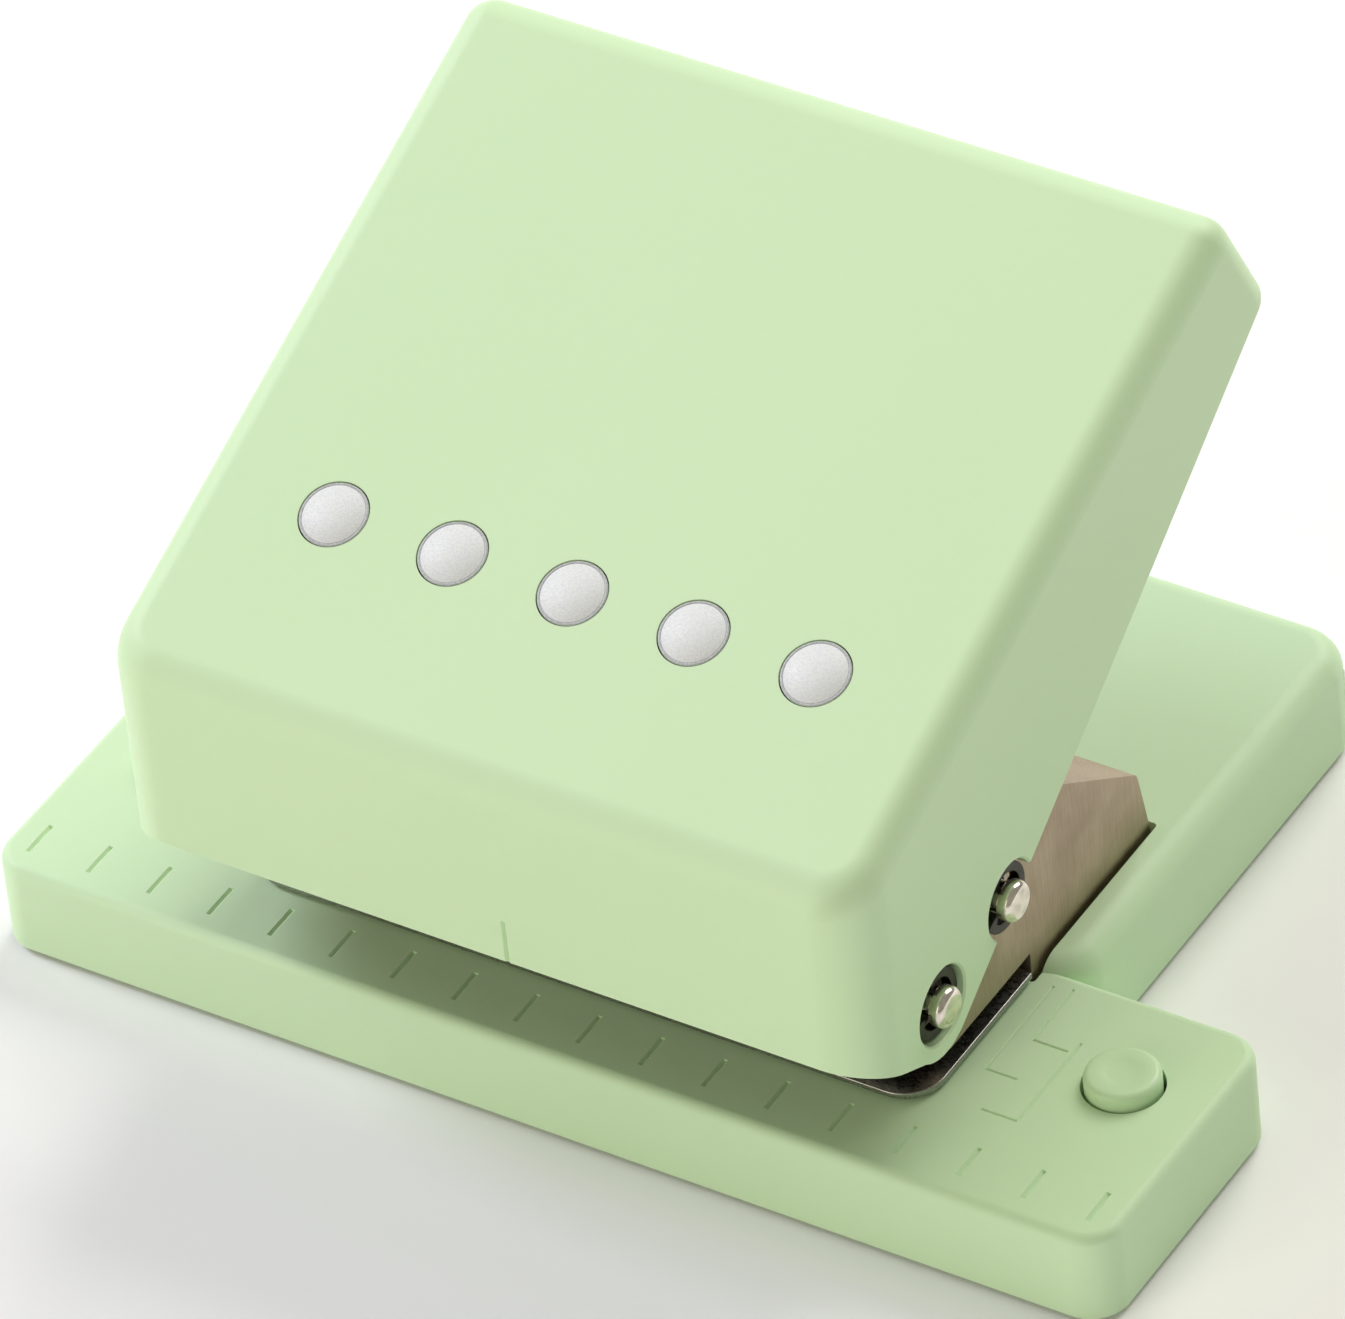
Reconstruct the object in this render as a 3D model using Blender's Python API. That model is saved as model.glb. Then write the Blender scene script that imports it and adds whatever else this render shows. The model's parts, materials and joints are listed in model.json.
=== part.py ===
"""Five-hole loose-leaf punch: a plastic base, a folded steel frame, five punches and a hinged hand cover.

X runs along the ruler strip, Y from the front of the strip to the rear, Z up. The origin is the bottom centre
of the whole punch with its cover raised. The rubber feet stand on Z = 0.
"""
import math

import bmesh
import bpy
from mathutils import Vector

MM = 0.001

# Fits between pieces
REST_GAP = 0.3 * MM           # between two pieces that rest on each other
RUNNING_GAP = 0.05 * MM       # around a pin or a punch that runs in a hole
SLIDE_GAP = 0.3 * MM          # beside a piece that slides or swings
SCREW_GAP = 0.15 * MM         # around a screw's shank

# Base
STRIP_END = 6.8 * MM          # strip beyond the axis of each locating peg
STRIP_DEPTH = 22.8 * MM
STRIP_TOP = 7.8 * MM
STRIP_WALL = 1.8 * MM
STRIP_CORNER = 2.8 * MM
STRIP_FILLET = 0.7 * MM
BODY_MARGIN = 0.2 * MM        # body beyond each side of the cover
BASE_DEPTH = 61.9 * MM        # from the strip's front to the body's rear
BODY_TOP = 8.6 * MM
BODY_WALL = 1.8 * MM
BODY_CORNER = 4.0 * MM
BODY_FILLET = 1.9 * MM
BODY_OVERLAP = 1.3 * MM       # how far the body's block reaches into the strip
SHELL_BOTTOM = 0.5 * MM
POCKET_FLOOR = 6.3 * MM
FLOOR_THICKNESS = 1.4 * MM

# Punching
PITCH = 9.5 * MM
PUNCH_COUNT = 5
PUNCH_ROW = 14.7 * MM         # behind the strip's front
PUNCH_RADIUS = 2.75 * MM
PUNCH_HEAD_LIP = 0.95 * MM    # head beyond the shank
PUNCH_HEAD = 1.4 * MM
PUNCH_TIP_LIFT = 0.2 * MM     # tip above the paper slot at rest
SLOT_HEIGHT = 1.4 * MM        # paper slot
DIE_THICKNESS = 0.5 * MM
DIE_LIP = 0.25 * MM           # die plate beyond each wall of the frame
DIE_FRONT = 6.3 * MM
DIE_REAR = 20.0 * MM
DIE_CORNER = 3.0 * MM
DIE_EAR = 1.0 * MM            # how far its sides reach back beside the paper stop
GUIDE_THICKNESS = 1.2 * MM
GUIDE_FRONT = 8.0 * MM
STOP_THICKNESS = 0.8 * MM
TAB_DEPTH = 1.0 * MM          # how far the guide plate's tabs enter the frame's walls
TAB_LENGTH = 3.0 * MM

# Frame
FRAME_SIDE = 8.05 * MM        # outer punch's axis to the outside of the frame
FRAME_SHEET = 1.5 * MM
FRAME_FOOT_FRONT = 10.5 * MM
FRAME_STEP = 21.3 * MM        # where the walls step down into the base
FRAME_REAR = 37.5 * MM
FRAME_REAR_TOP = (36.4 * MM, 14.2 * MM)
FRAME_TOP_REAR = 21.5 * MM
FRAME_TOP_FRONT = 8.5 * MM
FRAME_TOP = 24.6 * MM
FRAME_EAR = 3.9 * MM
FRAME_BEND = 1.3 * MM
FLANGE_REACH = 7.0 * MM
FLANGE_FRONT = 23.0 * MM
FLANGE_REAR = 37.0 * MM
POCKET_GAP = 0.35 * MM        # round the frame in the base's pocket

# Lever, measured from the pivot: U along the cover to the rear, N square to its top
PIVOT = (5.9 * MM, 18.9 * MM)
COVER_TILT = math.radians(21.7)
PRESS_ANGLE = math.radians(22.0)
PIN_RADIUS = 1.5 * MM
PIN_PROUD = 0.8 * MM          # pin's end beyond the cover's side
PIN_GROOVE_DEPTH = 0.35 * MM
PIN_GROOVE = 1.0 * MM
DRIVE_PIN = (9.38 * MM, -1.6 * MM)
CLIP_THICKNESS = 0.8 * MM
CLIP_TURN = math.radians(-125.0)   # its mouth points to the front
CLIP_LIP = 1.1 * MM           # clip beyond the pin
CLIP_BAND = 0.7 * MM
CLIP_GAP = 0.6 * MM           # clip beside the lever's arm
LEVER_SHEET = 0.8 * MM
LEVER_WEB = 9.8 * MM          # top of the lever's web above the pivot
LEVER_FRONT = -3.4 * MM
LEVER_REAR = 46.0 * MM
LEVER_REAR_EDGE = 7.2 * MM
LEVER_PIVOT_EYE = 1.7 * MM    # lever's sheet round the pivot pin
LEVER_DRIVE_EYE = 1.0 * MM    # and round the drive pin
COVER_SIDE_GAP = 0.25 * MM    # cover beside the lever
COVER_FRONT_TOP = -2.82 * MM
COVER_FRONT_BOTTOM = (-8.54 * MM, 3.6 * MM)
COVER_REAR_TOP = 53.4 * MM
COVER_REAR_BOTTOM = (54.3 * MM, 7.8 * MM)
COVER_TOP = 17.8 * MM
COVER_EAR = 4.1 * MM
COVER_SKIN = 2.0 * MM
COVER_SIDE_WALL = 1.6 * MM
COVER_FILLET = 2.2 * MM
COVER_FRONT_CORNER = 4.0 * MM # round upright corners at the front
DOT_RADIUS = 2.48 * MM
DOT_THICKNESS = 0.5 * MM
DOT_ROW = 12.5 * MM
DOT_GAP = 0.1 * MM
BOSS_RADIUS = 2.6 * MM
BOSS_INSET = 9.35 * MM        # bosses inside the lever's arms
BOSS_ROWS = (8.0 * MM, 40.0 * MM)

# Locating pegs
PEG_OFFSET = 4 * PITCH        # two pitches beyond the outer punches
PEG_RADIUS = 2.7 * MM
PEG_RISE = 1.2 * MM
PEG_FLANGE_LIP = 1.0 * MM     # flange beyond the peg
PEG_FLANGE = 1.0 * MM
PEG_STEM_RADIUS = 1.4 * MM
PEG_STEM = 1.3 * MM
PEG_HOLE_GAP = 0.25 * MM
PEG_BOSS_WALL = 1.4 * MM
RETAINER = 0.8 * MM

# Springs
PUNCH_SPRING_GAP = 0.35 * MM  # between the punch and its spring's wire
PUNCH_SPRING_WIRE = 0.25 * MM
PUNCH_SPRING_TURNS = 4.5
PEG_SPRING_INSET = 1.1 * MM   # coil inside the flange's edge
PEG_SPRING_WIRE = 0.2 * MM
PEG_SPRING_TURNS = 3

# Chip tray
TRAY_MARGIN = 6.0 * MM        # from the tray's side to the body's
TRAY_WALL = 1.2 * MM
TRAY_FRONT = 5.0 * MM
TRAY_TOP = 4.6 * MM
TRAY_BOTTOM = 1.6 * MM
TRAY_PANEL_BOTTOM = 0.9 * MM
GRIP_RADIUS = 7.0 * MM
GRIP_DEPTH = 2.4 * MM
RAIL_THICKNESS = 1.4 * MM
RAIL_LEDGE = 1.6 * MM
LEDGE_BOTTOM = 0.7 * MM
LEDGE_TOP = 1.3 * MM

# Screws
SCREW_RADIUS = 1.0 * MM
SCREW_HEAD_RADIUS = 1.9 * MM
SCREW_HEAD = 1.0 * MM
FRAME_SCREW_INSET = 3.75 * MM
FRAME_SCREW_ROWS = (26.0 * MM, 34.5 * MM)
DIE_SCREW_INSET = 5.15 * MM
DIE_SCREW_ROW = 9.0 * MM

# Feet
FOOT_SIZE = (3.8 * MM, 9.0 * MM)
FOOT_TOP = 1.6 * MM
FOOT_MARGIN = 0.15 * MM
FRONT_FOOT_INSET = (3.6 * MM, 6.6 * MM)   # from the strip's end and front
REAR_FOOT_INSET = (2.9 * MM, 7.6 * MM)    # from the body's side and rear
FOOT_BLOCK_WALL = 0.6 * MM

ROUND_STEPS = 32
WELD = 0.003 * MM             # joins points that a Boolean leaves almost on top of each other

# Sizes that follow from those above
COVER_OVERHANG = max(math.sin(COVER_TILT) * n - math.cos(COVER_TILT) * u
                     for u, n in ((COVER_FRONT_TOP, COVER_TOP), COVER_FRONT_BOTTOM)) - PIVOT[0]
STRIP_FRONT = (COVER_OVERHANG - BASE_DEPTH) / 2
STRIP_LENGTH = 2 * (PEG_OFFSET + STRIP_END)
DIE_BOTTOM = STRIP_TOP + REST_GAP
DIE_TOP = DIE_BOTTOM + DIE_THICKNESS
SLOT_TOP = DIE_TOP + SLOT_HEIGHT
GUIDE_TOP = SLOT_TOP + GUIDE_THICKNESS
FRAME_BOTTOM = POCKET_FLOOR + REST_GAP
FRAME_OUT = (PUNCH_COUNT - 1) / 2 * PITCH + FRAME_SIDE
FRAME_IN = FRAME_OUT - FRAME_SHEET
DIE_OUT = FRAME_OUT + DIE_LIP
DIE_SCREW_X = FRAME_OUT - DIE_SCREW_INSET
LEVER_IN = FRAME_OUT + SLIDE_GAP
LEVER_OUT = LEVER_IN + LEVER_SHEET
BOSS_SPREAD = LEVER_IN - BOSS_INSET
COVER_IN = LEVER_OUT + COVER_SIDE_GAP
COVER_OUT = COVER_IN + COVER_SIDE_WALL
PIN_END = COVER_OUT + PIN_PROUD
PIN_GROOVE_RADIUS = PIN_RADIUS - PIN_GROOVE_DEPTH
CLIP_RADIUS = PIN_RADIUS + CLIP_LIP
COVER_HOLE_RADIUS = CLIP_RADIUS + REST_GAP
BODY_OUT = COVER_OUT + BODY_MARGIN
TRAY_OUT = BODY_OUT - TRAY_MARGIN
PUNCH_HEAD_RADIUS = PUNCH_RADIUS + PUNCH_HEAD_LIP
PUNCH_SPRING_RADIUS = PUNCH_RADIUS + PUNCH_SPRING_GAP + PUNCH_SPRING_WIRE
PEG_FLANGE_RADIUS = PEG_RADIUS + PEG_FLANGE_LIP
PEG_BORE_RADIUS = PEG_FLANGE_RADIUS + REST_GAP
PEG_SPRING_RADIUS = PEG_FLANGE_RADIUS - PEG_SPRING_INSET
FRONT_FOOT = (STRIP_LENGTH / 2 - FRONT_FOOT_INSET[0], FRONT_FOOT_INSET[1])
REAR_FOOT = (BODY_OUT - REAR_FOOT_INSET[0], BASE_DEPTH - REAR_FOOT_INSET[1])
CLIP_IN = LEVER_OUT + CLIP_GAP
PIN_REACH = math.hypot(*DRIVE_PIN)
DRIVE_ANGLE = COVER_TILT + math.atan2(DRIVE_PIN[1], DRIVE_PIN[0])
DRIVE_PIN_Z = PIVOT[1] + PIN_REACH * math.sin(DRIVE_ANGLE)
PUNCH_TOP = DRIVE_PIN_Z - PIN_RADIUS - 0.12 * MM
PUNCH_TIP = SLOT_TOP + PUNCH_TIP_LIFT
STROKE = PIN_REACH * (math.sin(DRIVE_ANGLE) - math.sin(DRIVE_ANGLE - PRESS_ANGLE))
POCKET_OUT = FRAME_OUT + POCKET_GAP
POCKET_FRONT = FRAME_STEP - 0.4 * MM
POCKET_REAR = FRAME_REAR + 0.5 * MM
SLAB_BOTTOM = POCKET_FLOOR - FLOOR_THICKNESS
RAIL_IN = TRAY_OUT + SLIDE_GAP
PUNCH_XS = [(i - (PUNCH_COUNT - 1) / 2) * PITCH for i in range(PUNCH_COUNT)]


def world_y(from_front):
    """World Y of a distance measured from the strip's front."""
    return STRIP_FRONT + from_front


def material(name, colour, roughness, metallic=0.0):
    """A Principled material with one colour, roughness and metallic value."""
    made = bpy.data.materials.new(name)
    made.use_nodes = True
    shader = made.node_tree.nodes["Principled BSDF"]
    shader.inputs["Base Color"].default_value = (*colour, 1.0)
    shader.inputs["Roughness"].default_value = roughness
    shader.inputs["Metallic"].default_value = metallic
    return made


def add_object(name, mesh, finish, parent=None, location=(0, 0, 0), tilt=0.0):
    """Link a new object for one sub-part, with a material of its own."""
    made = bpy.data.objects.new(name, mesh)
    bpy.context.scene.collection.objects.link(made)
    if finish:
        colour, roughness, metallic = finish
        mesh.materials.append(material(name + "_finish", colour, roughness, metallic))
    made.parent = parent
    made.location = location
    made.rotation_euler = (tilt, 0, 0)
    mesh.shade_smooth()
    mesh.set_sharp_from_angle(angle=math.radians(35))
    return made


def to_mesh(name, shape):
    """Turn a bmesh into a mesh with its faces pointing out."""
    bmesh.ops.recalc_face_normals(shape, faces=shape.faces)
    mesh = bpy.data.meshes.new(name)
    shape.to_mesh(mesh)
    shape.free()
    return mesh


def join(*shapes):
    """Put several bmeshes into the first one."""
    first = shapes[0]
    for other in shapes[1:]:
        spare = bpy.data.meshes.new("spare")
        other.to_mesh(spare)
        other.free()
        first.from_mesh(spare)
        bpy.data.meshes.remove(spare)
    return first


def prism(outline, low, high, axis="X"):
    """Extrude an outline along X (outline in Y, Z) or along Z (outline in X, Y)."""
    shape = bmesh.new()
    if axis == "X":
        ring = [shape.verts.new((low, a, b)) for a, b in outline]
        move = Vector((high - low, 0, 0))
    else:
        ring = [shape.verts.new((a, b, low)) for a, b in outline]
        move = Vector((0, 0, high - low))
    face = shape.faces.new(ring)
    grown = bmesh.ops.extrude_face_region(shape, geom=[face])
    moved = [v for v in grown["geom"] if isinstance(v, bmesh.types.BMVert)]
    bmesh.ops.translate(shape, verts=moved, vec=move)
    return shape


def box(low, high):
    """A plain box between two corners."""
    outline = [(low[0], low[1]), (high[0], low[1]), (high[0], high[1]), (low[0], high[1])]
    return prism(outline, low[2], high[2], axis="Z")


def arc(centre, radius, start, stop, steps):
    """Points on an arc in degrees, both ends included."""
    angles = [math.radians(start + (stop - start) * i / steps) for i in range(steps + 1)]
    return [(centre[0] + radius * math.cos(a), centre[1] + radius * math.sin(a)) for a in angles]


def rounded_outline(low, high, radius, steps=6):
    """A rectangle with round corners, anticlockwise."""
    corners = [(high[0] - radius, high[1] - radius, 0), (low[0] + radius, high[1] - radius, 90),
               (low[0] + radius, low[1] + radius, 180), (high[0] - radius, low[1] + radius, 270)]
    points = []
    for x, y, start in corners:
        points += arc((x, y), radius, start, start + 90, steps)
    return points


def rounded_block(low, high, corner, fillet):
    """A block with round vertical corners and a fillet round its top face."""
    shape = prism(rounded_outline(low, high, corner), low[2], high[2], axis="Z")
    top = [e for e in shape.edges if all(abs(v.co.z - high[2]) < 1e-7 for v in e.verts)]
    bmesh.ops.bevel(shape, geom=top, offset=fillet, segments=4, profile=0.5, affect="EDGES")
    return shape


def turned(profile, centre, axis="Z", steps=ROUND_STEPS):
    """Spin a closed half profile of (radius, along) points about the Z or X axis through a centre."""
    shape = bmesh.new()
    rings = []
    for radius, along in profile:
        if radius < 1e-9:
            rings.append([shape.verts.new(_placed(0, 0, along, centre, axis))])
            continue
        ring = []
        for i in range(steps):
            a = 2 * math.pi * i / steps
            ring.append(shape.verts.new(_placed(radius * math.cos(a), radius * math.sin(a), along, centre, axis)))
        rings.append(ring)
    closed = rings[0] != rings[-1] and len(rings[0]) > 1 and len(rings[-1]) > 1
    pairs = list(zip(rings, rings[1:])) + ([(rings[-1], rings[0])] if closed else [])
    for one, two in pairs:
        for i in range(steps):
            j = (i + 1) % steps
            corners = [one[i % len(one)], one[j % len(one)], two[j % len(two)], two[i % len(two)]]
            unique = list(dict.fromkeys(corners))
            if len(unique) > 2:
                shape.faces.new(unique)
    return shape


def _placed(a, b, along, centre, axis):
    """Place a point of a turned shape about Z or X."""
    x, y, z = centre
    return (x + a, y + b, z + along) if axis == "Z" else (x + along, y + a, z + b)


def cylinder(radius, low, high, x, y, steps=ROUND_STEPS):
    """An upright cylinder."""
    return turned([(0, low), (radius, low), (radius, high), (0, high)], (x, y, 0), "Z", steps)


def coil(radius, wire, low, high, turns, x, y, sides=6, steps=14):
    """A compression spring with flat-lying ends, from low to high."""
    shape = bmesh.new()
    count = int(turns * steps)
    rings = []
    for i in range(count + 1):
        share = i / count
        eased = min(max((share * turns - 0.7) / (turns - 1.4), 0.0), 1.0)
        a = 2 * math.pi * turns * share
        z = low + wire + (high - low - 2 * wire) * eased + wire * 0.9 * _end_lift(share, turns)
        centre = Vector((x + radius * math.cos(a), y + radius * math.sin(a), z))
        outward = Vector((math.cos(a), math.sin(a), 0))
        ring = []
        for k in range(sides):
            b = 2 * math.pi * k / sides
            ring.append(shape.verts.new(centre + wire * (outward * math.cos(b) + Vector((0, 0, 1)) * math.sin(b))))
        rings.append(ring)
    for one, two in zip(rings, rings[1:]):
        for k in range(sides):
            shape.faces.new((one[k], one[(k + 1) % sides], two[(k + 1) % sides], two[k]))
    shape.faces.new(rings[0])
    shape.faces.new(rings[-1])
    return shape


def _end_lift(share, turns):
    """A slight lift before the last turn and drop after the first keeps the end turns apart."""
    first = share * turns
    last = (1 - share) * turns
    if first < 0.7:
        return first / 0.7
    if last < 0.7:
        return -last / 0.7
    return 1.0 - 2.0 * (first - 0.7) / (turns - 1.4)


def shape_tool(name, shape):
    """A hidden wire object for a Boolean."""
    tool = add_object(name, to_mesh(name, shape), None)
    tool.hide_render = True
    tool.display_type = "WIRE"
    return tool


def boolean(target, operation, shape):
    """Add or cut a shape on a target with an exact Boolean."""
    number = len(target.modifiers)
    tool = shape_tool(f"{target.name}.tool{number}", shape)
    if target.parent or any(target.location) or any(target.rotation_euler):
        tool.parent = target
    made = target.modifiers.new(f"{operation.lower()}{number}", "BOOLEAN")
    made.operation = operation
    made.solver = "EXACT"
    made.object = tool
    tidy = target.modifiers.new(f"weld{number}", "WELD")
    tidy.merge_threshold = WELD


def cut(target, *shapes):
    """Cut shapes that don't touch each other."""
    boolean(target, "DIFFERENCE", join(*shapes))


def unite(target, *shapes):
    """Add shapes that don't touch each other."""
    boolean(target, "UNION", join(*shapes))


# Finishes: colour, roughness, metallic
GREEN = ((0.60, 0.78, 0.50), 0.55, 0.0)
STEEL = ((0.42, 0.39, 0.35), 0.38, 1.0)
BRIGHT = ((0.80, 0.76, 0.68), 0.18, 1.0)
RUBBER = ((0.06, 0.06, 0.06), 0.85, 0.0)
DOT_WHITE = ((0.76, 0.77, 0.80), 0.45, 0.0)
SPRING = ((0.60, 0.60, 0.60), 0.30, 1.0)
TRAY = ((0.56, 0.74, 0.46), 0.60, 0.0)
CAP = ((0.50, 0.66, 0.42), 0.60, 0.0)


def mirrored_x(make):
    """The shapes of make(side) for the left and right sides."""
    return [make(-1), make(1)]


def side_box(side, x_low, x_high, y_low, y_high, z_low, z_high):
    """A box on one side of the middle plane, with Y measured from the strip's front."""
    xs = sorted((side * x_low, side * x_high))
    return box((xs[0], world_y(y_low), z_low), (xs[1], world_y(y_high), z_high))


def countersink(x, y, bottom, top):
    """A hole for a flat-head screw driven upwards."""
    wide = SCREW_HEAD_RADIUS + SCREW_GAP * 2
    narrow = SCREW_RADIUS + SCREW_GAP * 2
    profile = [(0, bottom - 1 * MM), (wide, bottom - 1 * MM), (wide, bottom), (narrow, bottom + SCREW_HEAD),
               (narrow, top), (0, top)]
    return turned(profile, (x, y, 0), "Z", 24)


def frame_screw_places():
    """X and Y of the four screws that hold the frame."""
    x = FRAME_IN - FRAME_SCREW_INSET
    return [(side * x, world_y(row)) for side in (-1, 1) for row in FRAME_SCREW_ROWS]


def die_screw_places():
    """X and Y of the two screws that hold the die plate."""
    return [(side * DIE_SCREW_X, world_y(DIE_SCREW_ROW)) for side in (-1, 1)]


def foot_places():
    """Name, X and Y of the four feet."""
    places = []
    for end, (x, y) in (("front", FRONT_FOOT), ("rear", REAR_FOOT)):
        for side, word in ((-1, "left"), (1, "right")):
            places.append((f"foot_{end}_{word}", side * x, world_y(y)))
    return places


def build_base_shell():
    """The T-shaped base: ruler strip, body, rails for the tray, bosses and blocks for the feet."""
    half = STRIP_LENGTH / 2
    strip = rounded_block((-half, world_y(0), SHELL_BOTTOM), (half, world_y(STRIP_DEPTH), STRIP_TOP),
                          STRIP_CORNER, STRIP_FILLET)
    base = add_object("base_shell", to_mesh("base_shell", strip), GREEN)
    body_front = STRIP_DEPTH - BODY_OVERLAP
    unite(base, rounded_block((-BODY_OUT, world_y(body_front), SHELL_BOTTOM),
                              (BODY_OUT, world_y(BASE_DEPTH), BODY_TOP), BODY_CORNER, BODY_FILLET))
    cut(base, box((-half + STRIP_WALL, world_y(STRIP_WALL), -MM),
                  (half - STRIP_WALL, world_y(STRIP_DEPTH - STRIP_WALL), STRIP_TOP - STRIP_WALL)))
    cut(base, box((-BODY_OUT + BODY_WALL, world_y(STRIP_DEPTH - STRIP_WALL - 2 * MM), -2 * MM),
                  (BODY_OUT - BODY_WALL, world_y(BASE_DEPTH - BODY_WALL), BODY_TOP - BODY_WALL)))
    bury = 0.6 * MM
    unite(base, box((-BODY_OUT + BODY_WALL - bury, world_y(POCKET_FRONT - 1.4 * MM), SLAB_BOTTOM),
                    (BODY_OUT - BODY_WALL + bury, world_y(POCKET_REAR + 1.4 * MM), BODY_TOP - bury * 2)))
    unite(base, *mirrored_x(lambda s: side_box(s, RAIL_IN, RAIL_IN + RAIL_THICKNESS, STRIP_WALL - bury,
                                               BASE_DEPTH - BODY_WALL + bury, LEDGE_BOTTOM, STRIP_TOP - bury)))
    unite(base, *mirrored_x(lambda s: side_box(s, RAIL_IN - RAIL_LEDGE, RAIL_IN + bury, TRAY_FRONT - MM,
                                               BASE_DEPTH - BODY_WALL + 0.5 * bury, LEDGE_BOTTOM, LEDGE_TOP)))
    blocks = []
    for _, x, y in foot_places():
        wide = FOOT_SIZE[0] / 2 + FOOT_BLOCK_WALL + FOOT_MARGIN
        deep = FOOT_SIZE[1] / 2 + FOOT_BLOCK_WALL + FOOT_MARGIN
        blocks.append(box((x - wide, y - deep, SHELL_BOTTOM + 0.1 * MM),
                          (x + wide, y + deep, STRIP_TOP - 1.5 * bury)))
    unite(base, *blocks)
    peg_y = world_y(PUNCH_ROW)
    unite(base, *mirrored_x(lambda s: cylinder(PEG_BORE_RADIUS + PEG_BOSS_WALL, LEDGE_BOTTOM + 0.1 * MM,
                                               STRIP_TOP - 1.2 * bury, s * PEG_OFFSET, peg_y)))
    cut(base, box((-POCKET_OUT, world_y(POCKET_FRONT), POCKET_FLOOR), (POCKET_OUT, world_y(POCKET_REAR), 12 * MM)))
    cut(base, box((-RAIL_IN, world_y(BASE_DEPTH - BODY_WALL) - MM, -MM),
                  (RAIL_IN, world_y(BASE_DEPTH) + MM, TRAY_TOP + SLIDE_GAP)))
    cut(base, *[box((x - FOOT_SIZE[0] / 2 - FOOT_MARGIN, y - FOOT_SIZE[1] / 2 - FOOT_MARGIN, -MM),
                    (x + FOOT_SIZE[0] / 2 + FOOT_MARGIN, y + FOOT_SIZE[1] / 2 + FOOT_MARGIN,
                     FOOT_TOP + REST_GAP)) for _, x, y in foot_places()])
    cut(base, *mirrored_x(lambda s: cylinder(PEG_BORE_RADIUS, -MM, STRIP_TOP - STRIP_WALL, s * PEG_OFFSET, peg_y)))
    holes = mirrored_x(lambda s: cylinder(PEG_RADIUS + PEG_HOLE_GAP, STRIP_TOP - STRIP_WALL - MM,
                                          STRIP_TOP + MM, s * PEG_OFFSET, peg_y))
    holes += [cylinder(PUNCH_RADIUS + 0.65 * MM, STRIP_TOP - STRIP_WALL - MM, STRIP_TOP + MM, x, peg_y)
              for x in PUNCH_XS]
    cut(base, *holes)
    cut(base, *[countersink(x, y, STRIP_TOP - STRIP_WALL, STRIP_TOP + MM) for x, y in die_screw_places()])
    cut(base, *[countersink(x, y, SLAB_BOTTOM, POCKET_FLOOR + MM) for x, y in frame_screw_places()])
    return base


def build_feet():
    """Four rubber pads in the base's blocks."""
    for name, x, y in foot_places():
        low = (x - FOOT_SIZE[0] / 2, y - FOOT_SIZE[1] / 2)
        high = (x + FOOT_SIZE[0] / 2, y + FOOT_SIZE[1] / 2)
        pad = prism([(px - x, py - y) for px, py in rounded_outline(low, high, MM, 4)], 0, FOOT_TOP, axis="Z")
        add_object(name, to_mesh(name, pad), RUBBER, location=(x, y, 0))


def build_die_plate():
    """The thin plate on the strip, with the die holes, two threaded holes and an ear beside each end of the stop."""
    half = FRAME_IN - REST_GAP
    corner, rear = DIE_OUT - DIE_CORNER, world_y(DIE_REAR)
    outline = arc((-corner, world_y(DIE_FRONT) + DIE_CORNER), DIE_CORNER, 180, 270, 6)
    outline += arc((corner, world_y(DIE_FRONT) + DIE_CORNER), DIE_CORNER, 270, 360, 6)
    outline += [(DIE_OUT, rear + DIE_EAR), (half + REST_GAP, rear + DIE_EAR), (half + REST_GAP, rear),
                (-half - REST_GAP, rear), (-half - REST_GAP, rear + DIE_EAR), (-DIE_OUT, rear + DIE_EAR)]
    plate = add_object("die_plate", to_mesh("die_plate", prism(outline, DIE_BOTTOM, DIE_TOP, axis="Z")), STEEL)
    holes = [cylinder(PUNCH_RADIUS + RUNNING_GAP, DIE_BOTTOM - MM, DIE_TOP + MM, x, world_y(PUNCH_ROW))
             for x in PUNCH_XS]
    holes += [cylinder(SCREW_RADIUS + SCREW_GAP, DIE_BOTTOM - MM, DIE_TOP + MM, x, y, 20)
              for x, y in die_screw_places()]
    cut(plate, *holes)


def guide_tabs():
    """Front ends of the guide plate's tabs, from the strip's front."""
    return (12.0 * MM, 16.5 * MM)


def build_guide_plate():
    """The plate above the paper slot, bent down at its rear as the paper stop."""
    half = FRAME_IN - REST_GAP
    stop_front = DIE_REAR + REST_GAP
    stop_rear = stop_front + STOP_THICKNESS
    outline = [(world_y(GUIDE_FRONT), SLOT_TOP), (world_y(stop_front), SLOT_TOP), (world_y(stop_front), DIE_BOTTOM),
               (world_y(stop_rear), DIE_BOTTOM), (world_y(stop_rear), GUIDE_TOP), (world_y(GUIDE_FRONT), GUIDE_TOP)]
    plate = add_object("guide_plate", to_mesh("guide_plate", prism(outline, -half, half)), STEEL)
    inner = half - MM
    for start in guide_tabs():
        unite(plate, *mirrored_x(lambda s, y=start: side_box(s, inner, FRAME_IN + TAB_DEPTH - REST_GAP, y,
                                                             y + TAB_LENGTH, SLOT_TOP + 0.2 * MM,
                                                             GUIDE_TOP - 0.2 * MM)))
    cut(plate, *[cylinder(PUNCH_RADIUS + RUNNING_GAP, SLOT_TOP - MM, GUIDE_TOP + MM, x, world_y(PUNCH_ROW))
                 for x in PUNCH_XS])


def slope_of_frame():
    """Fall per length of the frame's sloping top."""
    return (FRAME_TOP - FRAME_REAR_TOP[1]) / (FRAME_REAR_TOP[0] - FRAME_TOP_REAR)


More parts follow.
